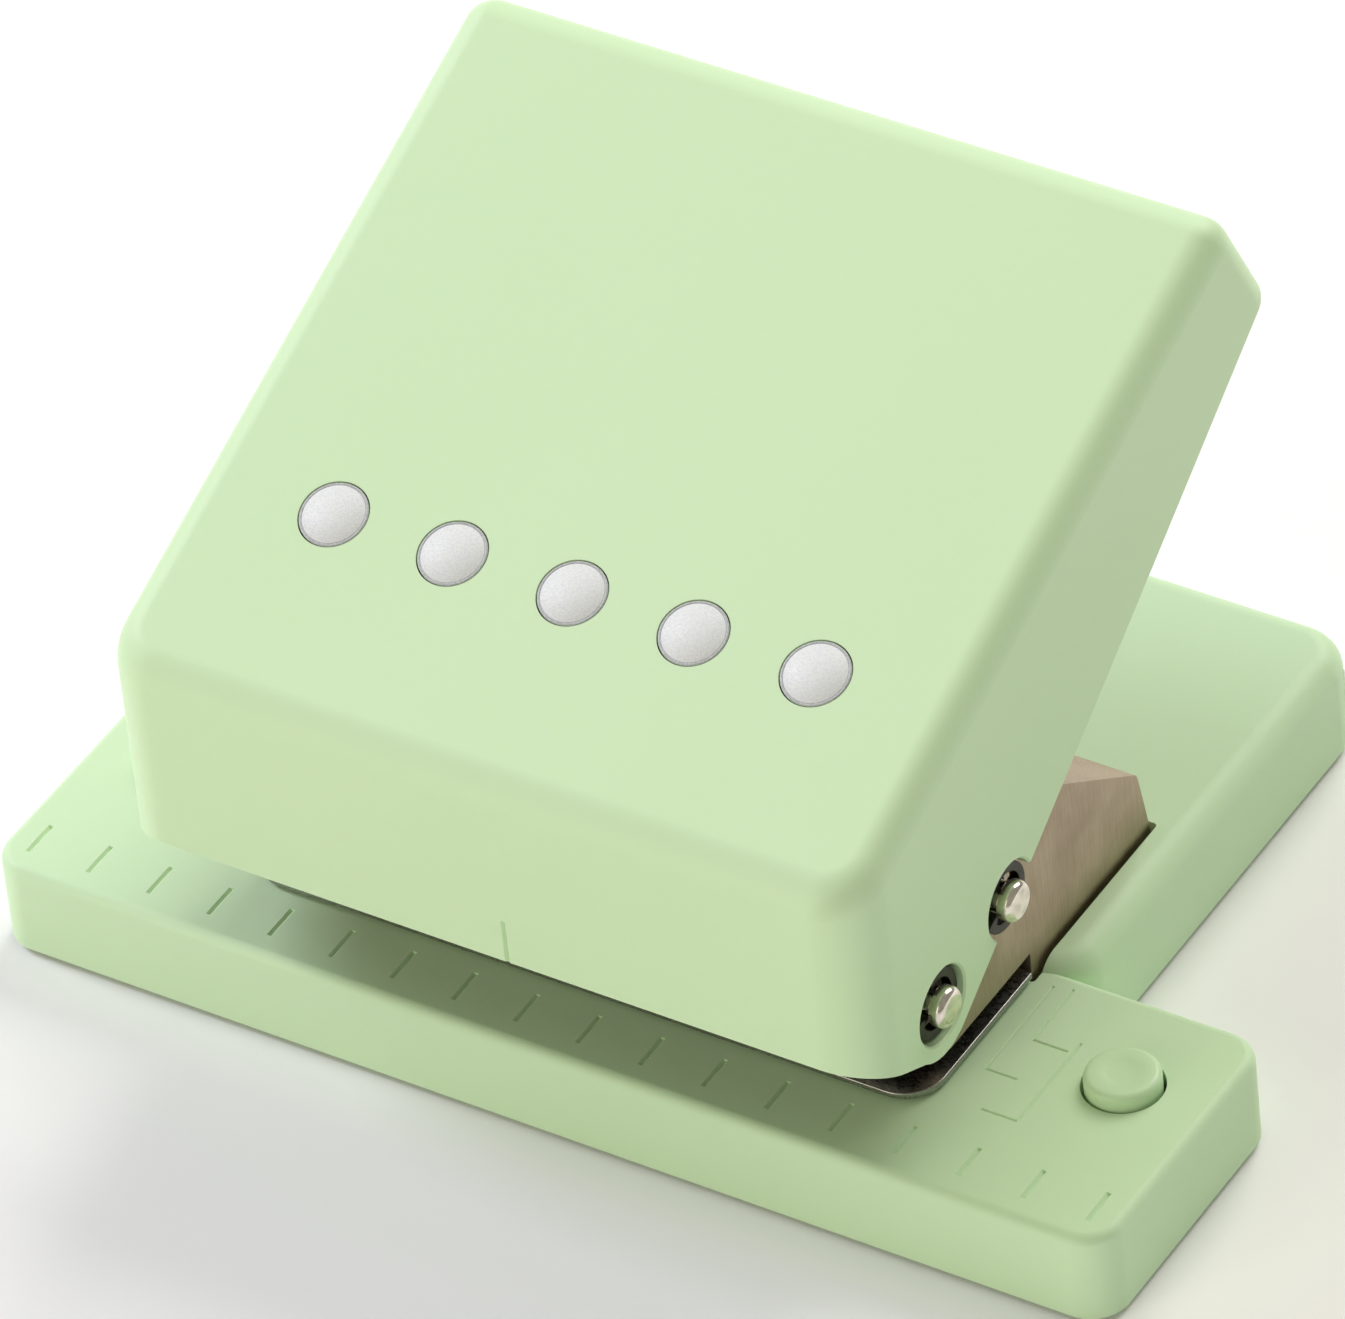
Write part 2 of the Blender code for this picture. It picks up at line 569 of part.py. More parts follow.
def frame_outline():
    """Side outline of the frame's walls."""
    ear = arc(PIVOT, FRAME_EAR, -55, -255, 14)
    points = [(FRAME_FOOT_FRONT, SLOT_TOP)] + ear
    points += [(FRAME_TOP_FRONT, FRAME_TOP), (FRAME_TOP_REAR, FRAME_TOP), FRAME_REAR_TOP,
               (FRAME_REAR, BODY_TOP), (FRAME_REAR, FRAME_BOTTOM), (FRAME_STEP, FRAME_BOTTOM),
               (FRAME_STEP, SLOT_TOP)]
    return [(world_y(y), z) for y, z in points]


def build_punch_frame():
    """The folded steel frame: two walls, a top web that slopes down at the rear, and two foot flanges."""
    shape = prism(frame_outline(), -FRAME_OUT, FRAME_OUT)
    bends = []
    for edge in shape.edges:
        one, two = (v.co for v in edge.verts)
        along_side = abs(one.x - two.x) < 1e-7
        on_top = min(one.z, two.z) > FRAME_REAR_TOP[1] - 1e-6 and min(one.y, two.y) > world_y(FRAME_TOP_FRONT) - 1e-6
        if along_side and on_top:
            bends.append(edge)
    bmesh.ops.bevel(shape, geom=bends, offset=FRAME_BEND, segments=4, profile=0.5, affect="EDGES")
    frame = add_object("punch_frame", to_mesh("punch_frame", shape), STEEL)
    slope = slope_of_frame()
    drop = FRAME_SHEET * math.hypot(1, slope)
    under = FRAME_TOP - FRAME_SHEET
    knee = FRAME_TOP_REAR - (drop - FRAME_SHEET) / slope
    far = 60 * MM
    inside = [(-5 * MM, -6 * MM), (far, -6 * MM), (far, FRAME_TOP - drop - slope * (far - FRAME_TOP_REAR)),
              (knee, under), (FRAME_TOP_FRONT + 0.8 * MM, under), (FRAME_TOP_FRONT + 0.8 * MM, 40 * MM),
              (-5 * MM, 40 * MM)]
    cut(frame, prism([(world_y(y), z) for y, z in inside], -FRAME_IN, FRAME_IN))
    unite(frame, *mirrored_x(lambda s: side_box(s, FRAME_IN - FLANGE_REACH, FRAME_IN + 0.5 * FRAME_SHEET,
                                                FLANGE_FRONT, FLANGE_REAR, FRAME_BOTTOM,
                                                FRAME_BOTTOM + FRAME_SHEET)))
    cut(frame, *[cylinder(SCREW_RADIUS + SCREW_GAP, FRAME_BOTTOM - MM, FRAME_BOTTOM + FRAME_SHEET + MM, x, y, 20)
                 for x, y in frame_screw_places()])
    bore = [(0, -FRAME_OUT - MM), (PIN_RADIUS + RUNNING_GAP, -FRAME_OUT - MM),
            (PIN_RADIUS + RUNNING_GAP, FRAME_OUT + MM), (0, FRAME_OUT + MM)]
    cut(frame, turned(bore, (0, world_y(PIVOT[0]), PIVOT[1]), "X"))
    centre = (world_y(PIVOT[0]), PIVOT[1])
    half_width = PIN_RADIUS + SLIDE_GAP
    start = math.degrees(DRIVE_ANGLE)
    stop = math.degrees(DRIVE_ANGLE - PRESS_ANGLE)
    ends = [(centre[0] + PIN_REACH * math.cos(math.radians(a)), centre[1] + PIN_REACH * math.sin(math.radians(a)))
            for a in (start, stop)]
    slot = arc(centre, PIN_REACH + half_width, stop, start, 8)[1:-1] + arc(ends[0], half_width, start, start + 180, 10)
    slot += arc(centre, PIN_REACH - half_width, start, stop, 8)[1:-1]
    slot += arc(ends[1], half_width, stop + 180, stop + 360, 10)
    cut(frame, prism(slot, -FRAME_OUT - MM, FRAME_OUT + MM))
    for front in guide_tabs():
        cut(frame, *mirrored_x(lambda s, y=front: side_box(s, FRAME_IN - 0.4 * MM, FRAME_IN + TAB_DEPTH,
                                                           y - REST_GAP, y + TAB_LENGTH + REST_GAP,
                                                           SLOT_TOP - MM, GUIDE_TOP + 0.1 * MM)))


def pin_profile():
    """Half profile of a pin with two clip grooves and domed ends, along X."""
    groove = CLIP_IN - 0.1 * MM
    side = [(PIN_RADIUS, groove), (PIN_GROOVE_RADIUS, groove), (PIN_GROOVE_RADIUS, groove + PIN_GROOVE),
            (PIN_RADIUS, groove + PIN_GROOVE), (PIN_RADIUS, PIN_END - 0.5 * MM), (PIN_RADIUS * 0.8, PIN_END - 0.15 * MM),
            (PIN_RADIUS * 0.45, PIN_END - 0.02 * MM), (0, PIN_END)]
    return [(r, -x) for r, x in reversed(side)] + side


def clip_shape(side):
    """An E-clip in the plane of the pin's groove: a band with three inner prongs, open downwards."""
    mouth = 38
    steps = 58
    inner, outer = [], []
    bore = PIN_GROOVE_RADIUS + RUNNING_GAP
    for i in range(steps + 1):
        a = -90 + mouth + (360 - 2 * mouth) * i / steps
        near_prong = min(abs(a - 90), abs(a - (-90 + mouth)), abs(a - (270 - mouth))) < 19
        inner.append((bore if near_prong else CLIP_RADIUS - CLIP_BAND, a))
        outer.append((CLIP_RADIUS, a))
    points = [(r * math.cos(math.radians(a)), r * math.sin(math.radians(a))) for r, a in outer + inner[::-1]]
    low, high = sorted((side * CLIP_IN, side * (CLIP_IN + CLIP_THICKNESS)))
    return prism(points, low, high)


def build_pins(lever, pivot_place):
    """Pivot pin in the frame and drive pin in the lever, each with an E-clip at both ends."""
    pins = (("pivot", None, pivot_place, (0, 0)), ("drive", lever, (0, 0, 0), DRIVE_PIN))
    for word, parent, place, (u, n) in pins:
        mesh = to_mesh(f"{word}_pin", turned(pin_profile(), (0, 0, 0), "X", 24))
        spot = (place[0], place[1] + u, place[2] + n)
        add_object(f"{word}_pin", mesh, BRIGHT, parent, spot)
        for side, name in ((-1, "left"), (1, "right")):
            clip = add_object(f"{word}_clip_{name}", to_mesh(f"{word}_clip_{name}", clip_shape(side)), BRIGHT,
                              parent, spot)
            clip.rotation_euler = (CLIP_TURN, 0, 0)


def lever_outline():
    """Side outline of the lever's arms, from the pivot."""
    eye = arc((0, 0), PIN_RADIUS + LEVER_PIVOT_EYE, 180, 285, 9)
    drive = arc(DRIVE_PIN, PIN_RADIUS + LEVER_DRIVE_EYE, -100, 10, 8)
    return [(LEVER_FRONT, LEVER_WEB)] + eye + drive + [(LEVER_REAR, LEVER_REAR_EDGE), (LEVER_REAR, LEVER_WEB)]


def boss_places():
    """X and U of the bosses that join cover and lever."""
    return [(side * BOSS_SPREAD, u) for side in (-1, 1) for u in BOSS_ROWS]


def build_lever(hub):
    """The steel channel inside the cover."""
    lever = add_object("lever", to_mesh("lever", prism(lever_outline(), -LEVER_OUT, LEVER_OUT)), STEEL, hub)
    cut(lever, box((-LEVER_IN, -30 * MM, -30 * MM), (LEVER_IN, 80 * MM, LEVER_WEB - LEVER_SHEET)))
    bores = []
    for u, n in ((0, 0), DRIVE_PIN):
        radius = PIN_RADIUS + RUNNING_GAP
        bore = [(0, -LEVER_OUT - MM), (radius, -LEVER_OUT - MM), (radius, LEVER_OUT + MM), (0, LEVER_OUT + MM)]
        bores.append(turned(bore, (0, u, n), "X"))
    bores += [cylinder(SCREW_RADIUS + SCREW_GAP, LEVER_WEB - 3 * MM, LEVER_WEB + MM, x, u, 20)
              for x, u in boss_places()]
    cut(lever, *bores)


def cover_outline():
    """Side outline of the cover, from the pivot."""
    front_top = (COVER_FRONT_TOP, COVER_TOP)
    rear_top = (COVER_REAR_TOP, COVER_TOP)
    reach = math.hypot(*COVER_REAR_BOTTOM)
    touch = math.degrees(math.atan2(COVER_REAR_BOTTOM[1], COVER_REAR_BOTTOM[0]) - math.acos(COVER_EAR / reach))
    ear = arc((0, 0), COVER_EAR, -152, touch, 9)
    return [front_top, COVER_FRONT_BOTTOM] + ear + [COVER_REAR_BOTTOM, rear_top]


def cover_inside():
    """Side outline of the space inside the cover's walls."""
    lean = (COVER_FRONT_TOP - COVER_FRONT_BOTTOM[0]) / (COVER_TOP - COVER_FRONT_BOTTOM[1])
    wall = COVER_SKIN * math.hypot(1, lean)
    roof = COVER_TOP - COVER_SKIN
    back = COVER_REAR_TOP - COVER_SKIN
    foot = -20 * MM
    return [(COVER_FRONT_TOP - lean * COVER_SKIN + wall, roof),
            (COVER_FRONT_BOTTOM[0] + wall + lean * (foot - COVER_FRONT_BOTTOM[1]), foot), (back, foot), (back, roof)]


def is_at(vertex, spot):
    """Whether a vertex lies at a (u, n) place."""
    return abs(vertex.co.y - spot[0]) < 1e-6 and abs(vertex.co.z - spot[1]) < 1e-6


def build_top_cover(hub):
    """The hand cover: a filleted shell, open below, with bosses, side holes and recesses for the dots."""
    shape = prism(cover_outline(), -COVER_OUT, COVER_OUT)
    corners = [(COVER_FRONT_TOP, COVER_TOP), (COVER_REAR_TOP, COVER_TOP), COVER_FRONT_BOTTOM, COVER_REAR_BOTTOM]
    uprights, top_edges = [], []
    for edge in shape.edges:
        spots = [next((i for i, c in enumerate(corners) if is_at(v, c)), None) for v in edge.verts]
        if None not in spots and sorted(spots) == [0, 2]:
            uprights.append(edge)
    bmesh.ops.bevel(shape, geom=uprights, offset=COVER_FRONT_CORNER, segments=6, profile=0.5, affect="EDGES")
    for edge in shape.edges:
        one, two = edge.verts
        on_roof = all(abs(v.co.z - COVER_TOP) < 1e-6 for v in edge.verts)
        at_rear = all(is_at(v, (COVER_REAR_TOP, COVER_TOP)) or is_at(v, COVER_REAR_BOTTOM) for v in edge.verts)
        if on_roof or (at_rear and abs(one.co.z - two.co.z) > 1e-6):
            top_edges.append(edge)
    bmesh.ops.bevel(shape, geom=top_edges, offset=COVER_FILLET, segments=5, profile=0.5, affect="EDGES")
    cover = add_object("top_cover", to_mesh("top_cover", shape), GREEN, hub)
    cut(cover, prism(cover_inside(), -COVER_IN, COVER_IN))
    low = LEVER_WEB + REST_GAP
    high = COVER_TOP - 0.5 * COVER_SKIN
    unite(cover, *[cylinder(BOSS_RADIUS, low, high, x, u, 20) for x, u in boss_places()])
    cut(cover, *[cylinder(SCREW_RADIUS + SCREW_GAP, low - MM, low + 4.2 * MM, x, u, 20) for x, u in boss_places()])
    cut(cover, *[cylinder(DOT_RADIUS + DOT_GAP, COVER_TOP - DOT_THICKNESS - REST_GAP, COVER_TOP + MM, x, DOT_ROW)
                 for x in PUNCH_XS])
    hole = [(0, COVER_IN - MM), (COVER_HOLE_RADIUS, COVER_IN - MM), (COVER_HOLE_RADIUS, COVER_OUT + MM),
            (0, COVER_OUT + MM)]
    for u, n in ((0, 0), DRIVE_PIN):
        cut(cover, *mirrored_x(lambda s, a=u, b=n: turned([(r, s * x) for r, x in hole], (0, a, b), "X")))


def build_dots(hub):
    """Light inlaid discs, one over each punch."""
    for number, x in enumerate(PUNCH_XS, 1):
        name = f"dot_{number}"
        edge = 0.06 * MM
        profile = [(0, -DOT_THICKNESS), (DOT_RADIUS, -DOT_THICKNESS), (DOT_RADIUS, -edge), (DOT_RADIUS - edge, 0),
                   (0, 0)]
        add_object(name, to_mesh(name, turned(profile, (0, 0, 0))), DOT_WHITE, hub, (x, DOT_ROW, COVER_TOP))


def build_punches():
    """Five punches with hollow-ground tips and their return springs."""
    y = world_y(PUNCH_ROW)
    for number, x in enumerate(PUNCH_XS, 1):
        chamfer = 0.3 * MM
        length = PUNCH_TOP - PUNCH_TIP
        profile = [(0, 1.0 * MM), (PUNCH_RADIUS - 0.3 * MM, 0), (PUNCH_RADIUS, 0), (PUNCH_RADIUS, length - PUNCH_HEAD),
                   (PUNCH_HEAD_RADIUS, length - PUNCH_HEAD), (PUNCH_HEAD_RADIUS, length - chamfer),
                   (PUNCH_HEAD_RADIUS - chamfer, length), (0, length)]
        name = f"punch_{number}"
        add_object(name, to_mesh(name, turned(profile, (0, 0, 0))), BRIGHT, None, (x, y, PUNCH_TIP))
        name = f"punch_spring_{number}"
        low = GUIDE_TOP + REST_GAP
        high = PUNCH_TOP - PUNCH_HEAD - REST_GAP
        spring = coil(PUNCH_SPRING_RADIUS, PUNCH_SPRING_WIRE, 0, high - low, PUNCH_SPRING_TURNS, 0, 0)
        add_object(name, to_mesh(name, spring), SPRING, None, (x, y, low))


def build_pegs():
    """The spring-loaded locating pegs with their springs and retaining caps."""
    y = world_y(PUNCH_ROW)
    top = STRIP_TOP + PEG_RISE
    flange_top = STRIP_TOP - STRIP_WALL - 0.5 * REST_GAP
    flange_low = flange_top - PEG_FLANGE
    cap_low = LEDGE_TOP - 0.4 * MM
    cap_top = cap_low + RETAINER
    for side, word in ((-1, "left"), (1, "right")):
        x = side * PEG_OFFSET
        profile = [(0, flange_low - PEG_STEM), (PEG_STEM_RADIUS, flange_low - PEG_STEM), (PEG_STEM_RADIUS, flange_low),
                   (PEG_FLANGE_RADIUS, flange_low), (PEG_FLANGE_RADIUS, flange_top), (PEG_RADIUS, flange_top),
                   (PEG_RADIUS, top - 0.45 * MM), (PEG_RADIUS - 0.13 * MM, top - 0.13 * MM),
                   (PEG_RADIUS - 0.45 * MM, top), (0, top)]
        profile = [(r, z - STRIP_TOP) for r, z in profile]
        name = f"peg_{word}"
        add_object(name, to_mesh(name, turned(profile, (0, 0, 0))), GREEN, None, (x, y, STRIP_TOP))
        name = f"peg_retainer_{word}"
        disc = cylinder(PEG_BORE_RADIUS - 0.1 * MM, 0, RETAINER, 0, 0)
        add_object(name, to_mesh(name, disc), CAP, None, (x, y, cap_low))
        name = f"peg_spring_{word}"
        low = cap_top + 0.1 * MM
        spring = coil(PEG_SPRING_RADIUS, PEG_SPRING_WIRE, 0, flange_low - 0.1 * MM - low, PEG_SPRING_TURNS, 0, 0)
        add_object(name, to_mesh(name, spring), SPRING, None, (x, y, low))


def build_chip_tray():
    """The tray for paper chips, with its rear panel flush with the body's rear."""
    half = TRAY_OUT
    rear = BASE_DEPTH - BODY_WALL - SLIDE_GAP
    block = box((-half, world_y(TRAY_FRONT), TRAY_BOTTOM), (half, world_y(rear), TRAY_TOP))
    tray = add_object("chip_tray", to_mesh("chip_tray", block), TRAY)
    floor = TRAY_BOTTOM + TRAY_WALL * 0.8
    cut(tray, box((-half + TRAY_WALL, world_y(TRAY_FRONT + TRAY_WALL), floor),
                  (half - TRAY_WALL, world_y(rear - TRAY_WALL), TRAY_TOP + MM)))
    panel_half = half - 0.2 * MM
    unite(tray, box((-panel_half, world_y(rear - 0.5 * TRAY_WALL), TRAY_PANEL_BOTTOM),
                    (panel_half, world_y(BASE_DEPTH), TRAY_TOP - 0.1 * MM)))
    grip = [(0, -MM), (GRIP_RADIUS, -MM), (GRIP_RADIUS, TRAY_TOP - 1.4 * MM), (0, TRAY_TOP - 1.4 * MM)]
    centre = (0, world_y(BASE_DEPTH) + GRIP_RADIUS - GRIP_DEPTH * 0.6, 0)
    cut(tray, turned(grip, centre))


def screw(length, flat):
    """Half profile of a screw that points up from its head: flat head or pan head."""
    if flat:
        return [(0, 0), (SCREW_HEAD_RADIUS, 0), (SCREW_RADIUS, SCREW_HEAD - 0.1 * MM), (SCREW_RADIUS, length),
                (0, length)]
    return [(0, 0), (SCREW_HEAD_RADIUS * 0.7, 0), (SCREW_HEAD_RADIUS, 0.35 * MM), (SCREW_HEAD_RADIUS, SCREW_HEAD),
            (SCREW_RADIUS, SCREW_HEAD), (SCREW_RADIUS, length), (0, length)]


def build_screws(hub):
    """Frame screws, die plate screws and cover screws."""
    inset = 0.05 * MM
    groups = (("frame_screw", frame_screw_places(), SLAB_BOTTOM + inset, FRAME_BOTTOM + 1.3 * MM, True, None),
              ("die_screw", die_screw_places(), STRIP_TOP - STRIP_WALL + inset, DIE_TOP - 0.1 * MM, True, None),
              ("cover_screw", boss_places(), LEVER_WEB - LEVER_SHEET - SCREW_HEAD - REST_GAP, LEVER_WEB + 3.8 * MM,
               False, hub))
    for word, places, low, high, flat, parent in groups:
        for number, (x, y) in enumerate(places, 1):
            name = f"{word}_{number}"
            shape = turned(screw(high - low, flat), (0, 0, 0), "Z", 16)
            add_object(name, to_mesh(name, shape), BRIGHT, parent, (x, y, low))


def build():
    """Build every sub-part."""
    for old in list(bpy.data.objects):
        bpy.data.objects.remove(old)
    pivot_place = (0, world_y(PIVOT[0]), PIVOT[1])
    hub = bpy.data.objects.new("lever_axis", None)
    bpy.context.scene.collection.objects.link(hub)
    hub.location = pivot_place
    hub.rotation_euler = (COVER_TILT, 0, 0)
    build_base_shell()
    build_feet()
    build_die_plate()
    build_guide_plate()
    build_punch_frame()
    build_punches()
    build_pegs()
    build_chip_tray()
    build_top_cover(hub)
    build_lever(hub)
    build_dots(hub)
    build_pins(hub, pivot_place)
    build_screws(hub)


build()
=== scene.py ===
"""Looks of a five-hole loose-leaf punch: green mouldings, folded plated steel, bright pins, rubber feet.

Lengths in this file are in millimetres. Pieces are made where they stand, with the cover raised, and are
scaled to metres as they are finished. U and N are the lever's own directions: U runs from its hinge to the
rear along the cover, and N stands square to the cover's top.
"""

import json
import logging
import math
from dataclasses import dataclass
from enum import Enum
from typing import Callable, Iterable, Sequence

import bmesh
import bpy
from mathutils import Matrix, Vector


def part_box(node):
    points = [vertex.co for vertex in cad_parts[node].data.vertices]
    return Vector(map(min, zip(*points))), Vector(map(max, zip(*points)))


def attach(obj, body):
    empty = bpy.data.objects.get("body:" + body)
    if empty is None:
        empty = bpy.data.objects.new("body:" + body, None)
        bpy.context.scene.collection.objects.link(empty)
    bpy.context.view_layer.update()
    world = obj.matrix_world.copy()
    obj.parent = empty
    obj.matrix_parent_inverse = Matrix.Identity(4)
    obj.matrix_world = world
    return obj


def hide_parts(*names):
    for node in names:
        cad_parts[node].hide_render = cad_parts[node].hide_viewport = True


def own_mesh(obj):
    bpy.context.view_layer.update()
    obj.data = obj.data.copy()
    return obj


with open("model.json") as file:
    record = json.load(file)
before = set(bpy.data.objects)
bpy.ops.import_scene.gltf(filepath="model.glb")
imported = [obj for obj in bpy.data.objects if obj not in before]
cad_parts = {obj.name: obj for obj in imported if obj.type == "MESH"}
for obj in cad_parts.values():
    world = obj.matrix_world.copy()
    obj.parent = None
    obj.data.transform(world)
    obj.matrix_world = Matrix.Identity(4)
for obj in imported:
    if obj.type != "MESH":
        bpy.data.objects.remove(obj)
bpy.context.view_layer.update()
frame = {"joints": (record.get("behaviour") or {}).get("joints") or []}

LOG = logging.getLogger("punch")
MM = 0.001
WELD = 0.003
NEAR = 1e-4
THREAD_HOLE = 1.15
Point = tuple[float, float]
Colour = tuple[float, float, float]


class Axis(Enum):
    """Direction that an outline is extruded or a profile is spun along."""

    X = "X"
    Z = "Z"


class Side(Enum):
    """Left or right half of the punch, seen from the front."""

    LEFT = -1
    RIGHT = 1

    @property
    def word(self) -> str:
        """The side's name as the CAD nodes spell it."""
        return self.name.lower()


class Slot(Enum):
    """Material slots of the record."""

    GREEN = "green_plastic"
    TRAY = "tray_plastic"
    DOT = "dot_plastic"
    SHEET = "sheet_steel"
    BRIGHT = "bright_steel"
    SPRING = "spring_steel"
    RUBBER = "rubber"


# ---------------------------------------------------------------------------------------------------------
# Shader work


class ShaderSheet:
    """A material's node tree, with short ways to add what the finishes need."""

    def __init__(self, name: str) -> None:
        """Start a material with one Principled shader.

        Args:
            name: Name of the new material.
        """
        self.material = bpy.data.materials.new(name)
        self.material.use_nodes = True
        self.tree = self.material.node_tree
        self.shader = self.tree.nodes["Principled BSDF"]
        self.place = self.add("ShaderNodeTexCoord").outputs["Object"]

    def add(self, kind: str) -> bpy.types.Node:
        """Add a node of one kind."""
        return self.tree.nodes.new(kind)

    def link(self, source: bpy.types.NodeSocket, target: bpy.types.NodeSocket) -> None:
        """Join two sockets."""
        self.tree.links.new(source, target)

    def fix(self, **values: float | tuple) -> None:
        """Set constant values on the shader's own sockets, with _ for a space in a socket's name."""
        for name, value in values.items():
            self.shader.inputs[name.replace("_", " ")].default_value = value

    def stretched(self, along: tuple[float, float, float]) -> bpy.types.NodeSocket:
        """Coordinates scaled by a factor along each axis.

        Args:
            along: Scale along X, Y and Z. A small value draws the pattern out.

        Returns:
            The scaled vector.
        """
        node = self.add("ShaderNodeMapping")
        node.inputs["Scale"].default_value = along
        self.link(self.place, node.inputs["Vector"])
        return node.outputs["Vector"]

    def noise(self, per_mm: float, detail: float = 3.0,
              along: tuple[float, float, float] = (1, 1, 1)) -> bpy.types.NodeSocket:
        """A noise pattern.

        Args:
            per_mm: Features in each millimetre.
            detail: Octaves of finer noise.
            along: Stretch of the pattern along X, Y and Z.

        Returns:
            The noise value, about 0 to 1.
        """
        node = self.add("ShaderNodeTexNoise")
        node.inputs["Scale"].default_value = per_mm / MM
        node.inputs["Detail"].default_value = detail
        self.link(self.stretched(along), node.inputs["Vector"])
        return node.outputs["Fac"]

    def spread(self, source: bpy.types.NodeSocket, low: float, high: float, to_low: float = 0.0,
               to_high: float = 1.0) -> bpy.types.NodeSocket:
        """Map a value from one range to another, clamped.

        Args:
            source: The value.
            low: Where the incoming range starts.
            high: Where it ends.
            to_low: Where the outgoing range starts.
            to_high: Where it ends.

        Returns:
            The mapped value.
        """
        node = self.add("ShaderNodeMapRange")
        for name, value in (("From Min", low), ("From Max", high), ("To Min", to_low), ("To Max", to_high)):
            node.inputs[name].default_value = value
        self.link(source, node.inputs["Value"])
        return node.outputs["Result"]

    def blend(self, share: bpy.types.NodeSocket, one: Colour, two: Colour) -> bpy.types.NodeSocket:
        """A colour between two, by a share from 0 to 1.

        Args:
            share: Share of the second colour.
            one: First colour.
            two: Second colour.

        Returns:
            The mixed colour.
        """
        node = self.add("ShaderNodeMix")
        node.data_type = "RGBA"
        node.inputs["A"].default_value = (*one, 1)
        node.inputs["B"].default_value = (*two, 1)
        self.link(share, node.inputs["Factor"])
        return node.outputs["Result"]

    def over(self, share: bpy.types.NodeSocket, below: bpy.types.NodeSocket,
             top: Colour) -> bpy.types.NodeSocket:
        """Lay a colour over a colour pattern, by a share from 0 to 1.

        Args:
            share: Share of the upper colour.
            below: The colour pattern.
            top: The upper colour.

        Returns:
            The mixed colour.
        """
        node = self.add("ShaderNodeMix")
        node.data_type = "RGBA"
        node.inputs["B"].default_value = (*top, 1)
        self.link(share, node.inputs["Factor"])
        self.link(below, node.inputs["A"])
        return node.outputs["Result"]

    def bump(self, height: bpy.types.NodeSocket, depth: float,
             under: bpy.types.NodeSocket | None = None) -> bpy.types.NodeSocket:
        """Raise the surface by a pattern.

        Args:
            height: The pattern.
            depth: Height of the pattern in millimetres.
            under: Normal of a coarser bump to add it to.

        Returns:
            The bent normal.
        """
        node = self.add("ShaderNodeBump")
        node.inputs["Distance"].default_value = depth * MM
        node.inputs["Strength"].default_value = 1.0
        self.link(height, node.inputs["Height"])
        if under is not None:
            self.link(under, node.inputs["Normal"])
        return node.outputs["Normal"]

    def dress(self, colour: bpy.types.NodeSocket | None = None, roughness: bpy.types.NodeSocket | None = None,
              normal: bpy.types.NodeSocket | None = None) -> bpy.types.Material:
        """Feed patterns to the shader.

        Args:
            colour: Base colour pattern.
            roughness: Roughness pattern.
            normal: Bent normal.

        Returns:
            The finished material.
        """
        for name, source in (("Base Color", colour), ("Roughness", roughness), ("Normal", normal)):
            if source is not None:
                self.link(source, self.shader.inputs[name])
        return self.material


@dataclass(frozen=True)
class MouldedPlastic:
    """Satin injection moulding with a fine spark-eroded grain and a faint flow mottle.

    Attributes:
        name: Material name.
        colour: Body colour.
        deep: Colour of the slightly denser patches.
        roughness: Mean roughness.
        grain: Grain features in each millimetre.
        grain_depth: Depth of the grain.
    """

    name: str
    colour: Colour
    deep: Colour
    roughness: float = 0.5
    grain: float = 3.2
    grain_depth: float = 0.006

    def make(self) -> bpy.types.Material:
        """Build the material.

        Returns:
            The material.
        """
        sheet = ShaderSheet(self.name)
        sheet.fix(IOR=1.49, Subsurface_Weight=0.08, Subsurface_Scale=1.2 * MM, Specular_IOR_Level=0.42)
        sheet.shader.inputs["Subsurface Radius"].default_value = (0.9, 1.0, 0.6)
        flow = sheet.noise(0.035, 2.5, (1.0, 0.6, 1.0))
        patch = sheet.spread(flow, 0.35, 0.68)
        colour = sheet.blend(patch, self.colour, self.deep)
        grain = sheet.noise(self.grain, 2.0)
        rough = sheet.spread(grain, 0.3, 0.7, self.roughness - 0.05, self.roughness + 0.06)
        wave = sheet.bump(flow, 0.05)
        return sheet.dress(colour, rough, sheet.bump(grain, self.grain_depth, wave))


@dataclass(frozen=True)
class PlatedSheet:
    """Plated cold-rolled sheet with rolling marks along one direction and faint stains.

    Attributes:
        name: Material name.
        colour: Metal colour.
        stain: Colour of the darker patches.
        along: Pattern stretch. The rolling marks run along the axis with the smallest value.
        roughness: Mean roughness.
        relief: Depth of the rolling marks.
    """

    name: str
    colour: Colour
    stain: Colour
    along: tuple[float, float, float] = (1.0, 1.0, 0.05)
    roughness: float = 0.34
    relief: float = 0.004

    def make(self) -> bpy.types.Material:
        """Build the material.

        Returns:
            The material.
        """
        sheet = ShaderSheet(self.name)
        sheet.fix(Metallic=1.0, Anisotropic=0.35)
        marks = sheet.noise(6.0, 3.0, self.along)
        cloud = sheet.noise(0.22, 4.0)
        colour = sheet.blend(sheet.spread(cloud, 0.38, 0.66), self.colour, self.stain)
        fine = sheet.spread(marks, 0.62, 0.82)
        colour = sheet.over(fine, colour, self.stain)
        rough = sheet.spread(marks, 0.3, 0.7, self.roughness - 0.09, self.roughness + 0.1)
        return sheet.dress(colour, rough, sheet.bump(marks, self.relief))


